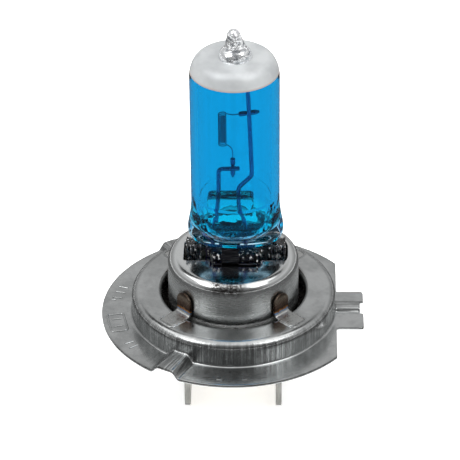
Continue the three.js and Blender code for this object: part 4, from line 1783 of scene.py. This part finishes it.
@dataclass
class QuartzCapsule:
    """The quartz envelope: pressed seal, tube, coated dome, exhaust tip, and the cavity with its pedestal."""

    axis_x: float = 0.35
    radius: float = 5.55
    wall: float = 1.0
    dome_start: float = 34.3
    dome_top: float = 37.05
    dome_corner: float = 1.6
    coat_edge: float = 35.1
    seal_bottom: float = 3.2
    seal_top: float = 10.1
    seal_half_x: float = 6.3
    seal_half_y: float = 1.35
    block_x: float = 0.3
    block_half_x: float = 2.95
    block_half_y: float = 2.9
    rib_pitch: float = 0.56
    rib_groove: float = 0.34
    rib_depth: float = 0.5
    rib_count: int = 3
    rib_end_gap: float = 0.42
    press_narrowest: float = 0.36
    press_low: float = 11.2
    press_high: float = 14.2
    tip_x: float = 0.5
    tip_top: float = 40.8
    pedestal_x: float = -0.25
    pedestal_half_x: float = 2.9
    pedestal_half_y: float = 1.05
    pedestal_top: float = 17.5
    points_round: int = 448

    def press(self, z: Any) -> Any:
        """How much of its depth the press leaves at a height."""
        return self.press_narrowest + (1 - self.press_narrowest) * np.clip(
            (np.asarray(z, float) - self.press_low) / (self.press_high - self.press_low), 0, 1)

    def _round_row(
        self, radius: float, z: float, squeeze: float | None = None, x: float | None = None
    ) -> Row:
        """Makes a circle of the envelope, narrowed front to back by the press.

        Args:
            radius: Its radius.
            z: Its height.
            squeeze: What is left of its depth, where the press's own share isn't meant.
            x: Its middle, where that isn't the tube's axis.

        Returns:
            The row.
        """
        loop = circle_loop(radius, self.points_round)
        loop[:, 1] *= float(self.press(z)) if squeeze is None else squeeze
        return at_height(loop, z, self.axis_x if x is None else x)

    def _seal_loop(self, shrink: float) -> Row:
        """Draws the pressed seal from above: flat wings, a thick block between them, ribs at both ends.

        Args:
            shrink: How far the outline draws in.

        Returns:
            The outline as x, y points.
        """
        count = self.points_round
        base = rounded_box_loop(self.seal_half_x - shrink, self.seal_half_y - shrink, 0.3, count)
        x, y = base[:, 0], base[:, 1]
        on_face = smooth(self.seal_half_y - 0.4, self.seal_half_y - 0.15, np.abs(y))
        offset = x + self.axis_x - self.block_x
        block = 1 - smooth(self.block_half_x - 0.18, self.block_half_x + 0.18, np.abs(offset))
        depth = (self.block_half_y - self.seal_half_y) * block
        groove = np.zeros_like(x)
        for i in range(self.rib_count):
            middle = self.seal_half_x - self.rib_end_gap - i * self.rib_pitch
            away = np.abs(np.abs(x) - middle)
            groove = np.maximum(groove, 1 - smooth(self.rib_groove * 0.3, self.rib_groove * 0.75, away))
        y = y + np.sign(y) * on_face * (depth - self.rib_depth * groove)
        return np.column_stack([x, y])

    def _outer_rows(self) -> tuple[list[Row], list[float]]:
        """Makes the outside, from the seal's foot to the tip's nose.

        Returns:
            The rows, and each row's height.
        """
        rows: list[Row] = []
        heights: list[float] = []

        def add(row: Row, z: float) -> None:
            """Adds a row and its height."""
            rows.append(row)
            heights.append(z)

        add(np.array([[self.axis_x, 0.0, self.seal_bottom]]), self.seal_bottom)
        for shrink, lift in ((1.0, 0.0), (0.28, 0.0), (0.1, 0.06), (0.0, 0.25)):
            z = self.seal_bottom + lift
            add(at_height(self._seal_loop(shrink), z, self.axis_x), z)
        for z in np.linspace(self.seal_bottom + 0.6, self.seal_top, 14):
            add(at_height(self._seal_loop(0.0), z, self.axis_x), z)
        # the wings end square, and the tube's rounded bottom stands on them
        for shrink, lift in ((0.06, 0.05), (0.25, 0.08), (0.8, 0.085)):
            z = self.seal_top + lift
            add(at_height(self._seal_loop(shrink), z, self.axis_x), z)
        foot = [(4.5, 10.24), (4.95, 10.42), (5.4, 10.75), (5.72, 11.2), (5.92, 11.75), (6.02, 12.35)]
        foot += [(6.02, 12.8), (5.97, 13.3), (5.87, 13.8), (5.76, 14.4), (5.66, 15.1), (5.59, 15.8)]
        foot += [(5.55, 16.6)]
        for radius, z in foot:
            add(self._round_row(radius, z), z)
        for z in np.linspace(17.5, self.dome_start, 18):
            add(self._round_row(self.radius, z), z)
        rise = self.dome_top - self.dome_start
        corner = (self.radius - self.dome_corner, self.dome_start)
        for r, z in arc_points(corner, self.dome_corner, rise, 0, 90, 22)[1:]:
            add(self._round_row(r, z), z)
        for share in (0.3, 0.6, 0.85, 1.0):
            x = self.axis_x + (self.tip_x - self.axis_x) * share
            start = self.radius - self.dome_corner
            add(self._round_row(start + (2.1 - start) * share, self.dome_top, x=x), self.dome_top)
        # the pinched-off exhaust tube: a swollen foot, a hollowed neck and a leaning nose
        tip = [(1.97, 37.06), (1.95, 37.3), (1.87, 37.6), (1.73, 37.88), (1.52, 38.12)]
        tip += [(1.33, 38.32), (1.21, 38.58), (1.13, 38.9), (1.05, 39.25), (0.96, 39.6)]
        tip += [(0.92 * math.cos(a), 39.7 + 1.1 * math.sin(a)) for a in np.radians([8, 24, 42, 60, 76])]
        for radius, z in tip:
            lean = 0.22 * smooth(38.0, self.tip_top, z)
            row = self._round_row(radius, z, x=self.tip_x - float(lean))
            swell = 1 + 0.06 * np.cos(2 * np.linspace(0, 2 * math.pi, self.points_round, endpoint=False) + z)
            row[:, :2] = (row[:, :2] - (self.tip_x, 0)) * swell[:, None] + (self.tip_x, 0)
            add(row, z)
        add(np.array([[self.tip_x - 0.22, 0.0, self.tip_top]]), self.tip_top)
        return rows, heights

    def _cavity_rows(self) -> list[Row]:
        """Makes the cavity's wall, from the middle of the pedestal's top down and out, and up to the dome.

        Returns:
            The rows.
        """
        count = self.points_round
        x = self.pedestal_x
        rows = [np.array([[x, 0.0, self.pedestal_top - 0.06]])]
        half_x, half_y = self.pedestal_half_x, self.pedestal_half_y
        for shrink, drop in ((0.7, 0.05), (0.4, 0.0), (0.2, 0.0), (0.06, 0.06), (0.0, 0.22)):
            corner = min(0.5 if shrink < 0.5 else 0.3, half_y - shrink - 0.01)
            loop = rounded_box_loop(half_x - shrink, half_y - shrink, corner, count)
            rows.append(at_height(loop, self.pedestal_top - drop, x))
        for z in (16.8, 16.2, 15.6, 15.1):
            rows.append(at_height(rounded_box_loop(half_x, half_y, 0.5, count), z, x))
        # the pedestal flares into the cavity's floor
        flare = [(0.25, 2.9, 0.55, 14.7), (0.6, 3.15, 0.6, 14.3)]
        flare += [(0.9, 3.5, 0.6, 13.9), (1.0, 3.8, 0.62, 13.6)]
        for mix, radius, squeeze, z in flare:
            box = at_height(rounded_box_loop(half_x, half_y, 0.5, count), z, x)
            round_row = self._round_row(radius, z, squeeze)
            rows.append(box * (1 - mix) + round_row * mix)
        for radius, z in ((4.1, 13.55), (4.32, 13.75), (4.46, 14.15), (4.53, 14.8), (4.55, 15.6)):
            rows.append(self._round_row(radius, z, float(self.press(z + 0.4))))
        inner = self.radius - self.wall
        for z in np.linspace(16.4, self.dome_start, 16):
            rows.append(self._round_row(inner, z))
        rise = self.dome_top - self.wall - self.dome_start
        for r, z in arc_points((inner - 1.0, self.dome_start), 1.0, rise, 0, 90, 10)[1:]:
            rows.append(self._round_row(r, z))
        top = self.dome_top - self.wall
        rows.append(self._round_row(1.5, top))
        rows.append(np.array([[self.axis_x, 0.0, top]]))
        return rows

    def build(self) -> Piece:
        """Builds the outside and the cavity, and dresses the tube's zones.

        Returns:
            The finished piece.
        """
        rows, heights = self._outer_rows()
        tip_slot, blue_slot, dome_slot, pressed_slot, inside_slot = range(5)

        def zone(band: int) -> int:
            """Names the finish of a band: pressed seal, blue tube, silver dome or tip.

            Args:
                band: The row below it.

            Returns:
                Its slot.
            """
            middle = (heights[band] + heights[band + 1]) / 2
            if middle > self.dome_top + 0.004:
                return tip_slot
            if middle > self.coat_edge:
                return dome_slot
            return blue_slot if middle > self.seal_top + 0.1 else pressed_slot

        parts = MeshParts()
        parts.add_shell(rows, slot_of=zone)
        parts.add_shell(self._cavity_rows(), inward=True, slot_of=lambda band: inside_slot)
        finishes = [
            SilveredTip().material(), BlueCoatedQuartz().material(), SilverDomeCoat().material(),
            PressedQuartz().material(), FusedQuartz().material(),
        ]
        capsule = parts.to_object("quartz_capsule_fine", finishes, 60)
        return place(capsule, "quartz", "quartz_capsule")


# ---------------------------------------- filament and its supports


@dataclass
class Filament:
    """The tungsten coil with its two legs, each ending in a crimped sleeve."""

    x: float = -1.2
    radius: float = 0.47
    wire: float = 0.064
    bottom: float = 24.75
    top: float = 29.2
    turns: float = 17.0
    upper_start: Point = (0.8, 0.0, 29.12)
    upper_end: Point = (3.4, 0.0, 29.5)
    lower_start: Point = (0.06, 0.0, 22.85)
    lower_end: Point = (0.06, 0.0, 20.05)

    def _legs(self) -> list[Row]:
        """Bends the two legs, from the coil's ends into the sleeves.

        Returns:
            The legs' paths.
        """
        edge = self.x + self.radius
        upper = bent_path([
            (edge, 0.0, self.top), (edge + 0.25, 0.05, self.top - 0.1), (0.11, 0.0, 29.02), self.upper_start,
            (1.8, 0.0, 29.27),
        ], 0.1)
        lower = bent_path([
            (edge, 0.0, self.bottom), (edge + 0.2, -0.04, self.bottom - 0.05), (-0.12, 0.0, 24.3),
            (0.05, 0.0, 23.8), self.lower_start, (0.06, 0.0, 21.9),
        ], 0.12)
        return [upper, lower]

    def _tree(self) -> tuple[Tree, dict[str, str]]:
        """Makes the Geometry Nodes that wind the coil and draw the wire along it and along the legs.

        Returns:
            The group and its inputs' identifiers.
        """
        tree, names, given = new_group("wound_coil", {
            "Turns": "NodeSocketFloat", "Coil Radius": "NodeSocketFloat", "Coil Height": "NodeSocketFloat",
            "Coil Foot": "NodeSocketVector", "Wire Radius": "NodeSocketFloat", "Finish": "NodeSocketMaterial",
        })
        coil = add_node(tree, "GeometryNodeCurveSpiral", {
            "Resolution": 36,
            "Rotations": given.outputs["Turns"],
            "Start Radius": given.outputs["Coil Radius"],
            "End Radius": given.outputs["Coil Radius"],
            "Height": given.outputs["Coil Height"],
        })
        lifted = add_node(tree, "GeometryNodeTransform", {
            "Geometry": coil, "Translation": given.outputs["Coil Foot"],
        })
        legs = add_node(tree, "GeometryNodeMeshToCurve", {"Mesh": given.outputs["Geometry"]})
        both = add_node(tree, "GeometryNodeJoinGeometry", (lifted,))
        feed(both, (legs,))
        section = add_node(tree, "GeometryNodeCurvePrimitiveCircle", {
            "Resolution": 12, "Radius": given.outputs["Wire Radius"],
        })
        wire = add_node(tree, "GeometryNodeCurveToMesh", {
            "Curve": both, "Profile Curve": section, "Fill Caps": True,
        })
        finish_group(tree, wire, given.outputs["Finish"])
        return tree, names

    def build(self) -> Piece:
        """Winds the filament and settles it as one mesh.

        Returns:
            The finished piece.
        """
        filament = wire_object("filament_fine", self._legs())
        tree, names = self._tree()
        winding = filament.modifiers.new("winding", "NODES")
        winding.node_group = tree
        winding[names["Turns"]] = self.turns
        winding[names["Coil Radius"]] = self.radius * MM
        winding[names["Coil Height"]] = (self.top - self.bottom) * MM
        winding[names["Coil Foot"]] = (self.x * MM, 0.0, self.bottom * MM)
        winding[names["Wire Radius"]] = self.wire * MM
        winding[names["Finish"]] = RefractoryWire("drawn_tungsten", "#a9abc0", "#6c6e8c", 0.16).material()
        return place(settle(filament), "tungsten", "filament")


class Level(Enum):
    """Which of the filament's two legs a sleeve holds."""

    UPPER = "upper"
    LOWER = "lower"


@dataclass
class Sleeve:
    """A molybdenum crimp sleeve, pinched in its middle and squeezed to a beak at its far end."""

    level: Level
    start: Point
    end: Point
    radius: float = 0.31

    @staticmethod
    def _crimp(share: float) -> Pair:
        """Pinches the sleeve.

        Args:
            share: A share of its length.

        Returns:
            Its two half-widths there, as shares of the radius.
        """
        pinch = math.exp(-(((share - 0.4) / 0.08) ** 2))
        beak = float(smooth(0.78, 1.0, share))
        return 1.0 - 0.22 * pinch - 0.6 * beak, 1.0 + 0.1 * pinch

    def build(self) -> Piece:
        """Builds the sleeve.

        Returns:
            The finished piece.
        """
        path = finely(np.array([self.start, self.end], float), 0.07)
        parts = MeshParts()
        parts.add_shell(swept_rows(path, self.radius, 24, self._crimp))
        name = f"filament_sleeve_{self.level.value}"
        sleeve = parts.to_object(f"{name}_fine", [RefractoryWire().material()], 50)
        return place(sleeve, "molybdenum", name)


@dataclass
class Rod:
    """A bent round rod: a support post or an outer lead."""

    name: str
    points: Sequence[Point]
    radius: float
    bend: float
    slot: str
    finish: Finish

    def build(self) -> Piece:
        """Sweeps the rod along its bent path.

        Returns:
            The finished piece.
        """
        parts = MeshParts()
        parts.add_shell(swept_rows(finely(bent_path(self.points, self.bend), 0.35), self.radius, 22))
        rod = parts.to_object(f"{self.name}_fine", [self.finish.material()], 50)
        return place(rod, self.slot, self.name)


@dataclass
class SealFoil:
    """A molybdenum foil in the seal, thinned to a feather edge along both sides."""

    side: Side
    x: float
    width: float = 2.2
    thickness: float = 0.08
    bottom: float = 5.2
    top: float = 10.7

    def build(self) -> Piece:
        """Builds the foil as a lens-shaped strip.

        Returns:
            The finished piece.
        """
        half = self.width / 2
        across = np.linspace(-half, half, 15)
        depth = self.thickness / 2 * np.sqrt(np.clip(1.0 - (np.abs(across) / half) ** 3, 0.0004, 1))
        loop = np.vstack([np.column_stack([across, -depth]), np.column_stack([across[::-1], depth[::-1]])])
        rows = [at_height(loop, z, self.x) for z in np.linspace(self.bottom, self.top, 12)]
        parts = MeshParts()
        parts.add_shell(rows)
        foil = parts.to_object(f"seal_foil_{self.side.word}_fine", [RefractoryWire().material()], 60)
        return place(foil, "molybdenum", f"seal_foil_{self.side.word}")


# ---------------------------------------- studio


class Rays(Enum):
    """Which rays see a studio card."""

    REFLECTED = 0
    REFRACTED = 1


@dataclass
class Studio:
    """A white table, soft boxes, dark cards for the metal and a white surround for the glass."""

    floor_z: float = -13.4
    floor_size: float = 3.0
    floor_glow: float = 0.6
    camera_side_share: float = 0.25
    panel_distance: float = 500.0
    card_reach: float = 420.0
    sky: tuple[Pair, ...] = (
        (0.0, 0.5), (0.2, 0.34), (0.4, 0.5), (0.54, 0.74), (0.66, 0.52), (0.82, 0.7), (0.93, 1.3), (1.0, 1.1),
    )

    def floor(self) -> None:
        """A plain white table under the blades."""
        material = bare_material("white_table_paint")
        shader = add_node(material.node_tree, "ShaderNodeBsdfPrincipled", {
            "Base Color": linear("#fafafa"), "Roughness": 0.9,
            "Emission Color": linear("#ffffff"), "Emission Strength": self.floor_glow,
        })
        add_node(material.node_tree, "ShaderNodeOutputMaterial", (shader,))
        half = self.floor_size / 2
        mesh = bpy.data.meshes.new("table")
        z = self.floor_z * MM
        corners = [(-half, -half, z), (half, -half, z), (half, half, z), (-half, half, z)]
        mesh.from_pydata(corners, [], [(0, 1, 2, 3)])
        mesh.materials.append(material)
        link_object("table", mesh)

    def _glow(self, name: str, grey: float) -> Material:
        """Makes an even grey glow.

        Args:
            name: The material's name.
            grey: How bright it is.

        Returns:
            The material.
        """
        material = bare_material(name)
        glow = add_node(material.node_tree, "ShaderNodeEmission", ((grey, grey, grey, 1.0), 1.0))
        add_node(material.node_tree, "ShaderNodeOutputMaterial", (glow,))
        return material

    def _seen_only_by(self, card: Piece, rays: Rays) -> None:
        """Hides a card from every kind of ray but one.

        Args:
            card: The card.
            rays: The rays that see it.
        """
        card.visible_camera = False
        card.visible_diffuse = False
        card.visible_glossy = rays is Rays.REFLECTED
        card.visible_transmission = rays is Rays.REFRACTED
        card.visible_shadow = False
        card.visible_volume_scatter = False

    def ring_card(self, name: str, rows: Sequence[Pair], grey: float, rays: Rays) -> None:
        """A ring-shaped card round the lamp.

        Args:
            name: The card's name.
            rows: Its section as radius and height, in millimetres.
            grey: How bright it glows.
            rays: The rays that see it.
        """
        parts = MeshParts()
        count = 96
        unit = circle_loop(1.0, count)
        for (r0, z0), (r1, z1) in zip(rows, rows[1:]):
            start = len(parts.points)
            for r, z in ((r0, z0), (r1, z1)):
                parts.points.extend(map(tuple, at_height(unit * r, z)))
            for j in range(count):
                k = (j + 1) % count
                parts.faces.append((start + j, start + k, start + count + k, start + count + j))
                parts.slots.append(0)
        self._seen_only_by(parts.to_object(name, [self._glow(name, grey)]), rays)

    def panel(
        self, name: str, azimuth: float, low: float, high: float, half_width: float, grey: float
    ) -> None:
        """A card of the sky that reflections see, between two heights over the table.

        Args:
            name: The card's name.
            azimuth: Its middle's direction round the lamp, in degrees from +X.
            low: Its lower edge's elevation, in degrees.
            high: Its upper edge's elevation, in degrees.
            half_width: Half of its width in azimuth, in degrees.
            grey: How bright it glows.
        """
        parts = MeshParts()
        corners = ((-1, low), (1, low), (1, high), (-1, high))
        for side, elevation in corners:
            az, el = math.radians(azimuth + side * half_width), math.radians(elevation)
            reach = self.panel_distance
            x, y = reach * math.cos(az) * math.cos(el), reach * math.sin(az) * math.cos(el)
            parts.points.append((x, y, reach * math.sin(el)))
        parts.faces.append((0, 1, 2, 3))
        parts.slots.append(0)
        self._seen_only_by(parts.to_object(name, [self._glow(name, grey)]), Rays.REFLECTED)

    def softbox(
        self, name: str, azimuth: float, elevation: float, distance: float, size: float, watts: float,
        mirrored: bool = True,
    ) -> None:
        """A square area light that faces the lamp.

        Args:
            name: The light's name.
            azimuth: Its direction round the lamp, in degrees from +X.
            elevation: Its height over the table, in degrees.
            distance: How far it is, in metres.
            size: Its side, in metres.
            watts: Its power.
            mirrored: Whether metal and glass show it.
        """
        lamp = bpy.data.lights.new(name, "AREA")
        lamp.shape = "SQUARE"
        lamp.size = size
        lamp.energy = watts
        light = bpy.data.objects.new(name, lamp)
        bpy.context.scene.collection.objects.link(light)
        light.visible_glossy = mirrored
        light.visible_transmission = mirrored
        az, el = math.radians(azimuth), math.radians(elevation)
        away = Vector((math.cos(az) * math.cos(el), math.sin(az) * math.cos(el), math.sin(el)))
        light.location = away * distance
        light.rotation_euler = away.to_track_quat("Z", "Y").to_euler()

    def world(self) -> None:
        """A soft white room, brighter overhead than at the table's level and dim behind the camera."""
        world = bpy.data.worlds.new("white_room")
        bpy.context.scene.world = world
        world.use_nodes = True
        tree = world.node_tree
        tree.nodes.clear()
        where = add_node(tree, "ShaderNodeTexCoord")
        axes = add_node(tree, "ShaderNodeSeparateXYZ", {0: where.outputs["Generated"]})
        ramp = add_node(tree, "ShaderNodeValToRGB", {0: axes.outputs["Z"]})
        set_stops(ramp, [(height, (grey, grey, grey, 1.0)) for height, grey in self.sky])
        dimming = (axes.outputs["Y"], -0.88, -0.3, self.camera_side_share, 1.0)
        towards_back = add_node(tree, RANGE, dimming, **SMOOTHLY)
        back = add_node(tree, "ShaderNodeBackground", (ramp, towards_back))
        add_node(tree, "ShaderNodeOutputWorld", (back,))

    def build(self) -> None:
        """Sets up the table, lights and cards."""
        self.floor()
        self.world()
        low, reach = self.floor_z + 0.1, self.card_reach
        self.ring_card("low_grey_card", [(30.0, low), (reach, low)], 0.14, Rays.REFLECTED)
        self.ring_card("white_surround", [(22.0, low), (reach, low), (reach, 50.0)], 1.1, Rays.REFRACTED)
        self.ring_card("dark_surround", [(reach, 50.0), (reach, 520.0)], 0.04, Rays.REFRACTED)
        self.panel("left_reflector", 178.0, 42.0, 72.0, 24.0, 1.9)
        self.panel("right_reflector", -10.0, 48.0, 76.0, 26.0, 1.9)
        self.panel("left_flag", 132.0, 40.0, 62.0, 17.0, 0.05)
        self.panel("right_flag", 48.0, 46.0, 66.0, 17.0, 0.05)
        self.softbox("left_softbox", 215.0, 50.0, 0.8, 0.3, 1.2)
        self.softbox("right_softbox", 325.0, 50.0, 0.8, 0.3, 1.0)
        self.softbox("overhead_fill", 270.0, 84.0, 0.9, 0.9, 6.0, mirrored=False)


@dataclass
class LampCamera:
    """The camera: a long lens about a third of a metre away, looking down at the lamp's front."""

    distance: float = 367.24
    elevation: float = 32.787
    azimuth: float = 1.291
    roll: float = -0.539
    lens: float = 228.0
    sensor: float = 36.0
    aim_right: float = -0.365
    aim_height: float = 11.964

    def build(self) -> None:
        """Creates the camera and makes it the scene's."""
        az, el, roll = (math.radians(a) for a in (self.azimuth, self.elevation, self.roll))
        back = Vector((math.sin(az) * math.cos(el), -math.cos(az) * math.cos(el), math.sin(el)))
        level = Vector((math.cos(az), math.sin(az), 0.0))
        upward = back.cross(level)
        right = level * math.cos(roll) + upward * math.sin(roll)
        up = upward * math.cos(roll) - level * math.sin(roll)
        place_at = level * self.aim_right + Vector((0.0, 0.0, self.aim_height)) + back * self.distance
        lens = bpy.data.cameras.new("lamp_camera")
        lens.lens = self.lens
        lens.sensor_width = self.sensor
        lens.clip_start = 0.01
        lens.clip_end = 20.0
        camera = bpy.data.objects.new("lamp_camera", lens)
        bpy.context.scene.collection.objects.link(camera)
        turned = Matrix((right, up, back)).transposed().to_4x4()
        camera.matrix_world = Matrix.Translation(place_at * MM) @ turned
        bpy.context.scene.camera = camera


# ---------------------------------------- assembly


@dataclass
class Burner:
    """The capsule's inside: filament, sleeves, posts, foils and leads."""

    post_radius: float = 0.27
    post_y: float = -0.56
    post_bend: float = 0.55
    foil_top: float = 10.7
    foil_bottom: float = 5.2
    left_x: float = -2.35
    right_x: float = 1.55
    lead_radius: float = 0.3
    lead_bend: float = 0.5
    weld_gap: float = 0.03

    def build(self) -> None:
        """Builds every piece inside the glass."""
        y = self.post_y
        filament = Filament()
        filament.build()
        Sleeve(Level.UPPER, filament.upper_start, filament.upper_end).build()
        Sleeve(Level.LOWER, filament.lower_start, filament.lower_end).build()
        foot_z = self.foil_top + self.weld_gap
        long_post = [
            (1.95, y, 33.4), (2.3, y, 24.3), (2.42, y, 20.6), (0.72, 0.0, 18.5), (0.74, 0.0, 16.6),
            (self.right_x, 0.0, 11.6), (self.right_x, 0.0, foot_z),
        ]
        short_post = [
            (0.95, y, 21.65), (-1.68, y, 21.55), (-1.72, y / 2, 18.6), (-1.82, 0.0, 16.6),
            (self.left_x, 0.0, 11.6), (self.left_x, 0.0, foot_z),
        ]
        wire = RefractoryWire()
        Rod("support_post_long", long_post, self.post_radius, self.post_bend, "molybdenum", wire).build()
        Rod("support_post_short", short_post, self.post_radius, self.post_bend, "molybdenum", wire).build()
        for side, x in ((Side.LEFT, self.left_x), (Side.RIGHT, self.right_x)):
            SealFoil(side, x).build()
            blade = ContactBlade(side)
            weld_x = blade.x - side.value * (blade.shank_thickness / 2 + self.lead_radius + self.weld_gap)
            lead = [(x, 0.0, self.foil_bottom - self.weld_gap), (x, 0.0, 2.6)]
            lead += [(weld_x, 0.0, 1.5), (weld_x, 0.0, 0.0)]
            name, plate = f"outer_lead_{side.word}", NickelPlate()
            Rod(name, lead, self.lead_radius, self.lead_bend, "blade_metal", plate).build()


@dataclass
class Cap:
    """The lamp's metal and ceramic cap."""

    def build(self) -> None:
        """Builds every piece of the cap."""
        PrefocusRing().build()
        EmbossedMarks().build()
        CapShell().build()
        InsulatorPlug().build()
        for side in Side:
            ContactBlade(side).build()
        for face in Face:
            SealClip(face).build()


def main() -> None:
    """Builds the lamp and its studio."""
    logging.basicConfig(level=logging.INFO, format="%(name)s %(message)s")
    bpy.context.scene.view_settings.view_transform = "Standard"
    LampCamera().build()
    Studio().build()
    Cap().build()
    Burner().build()
    QuartzCapsule().build()


if __name__ == "__main__":
    main()
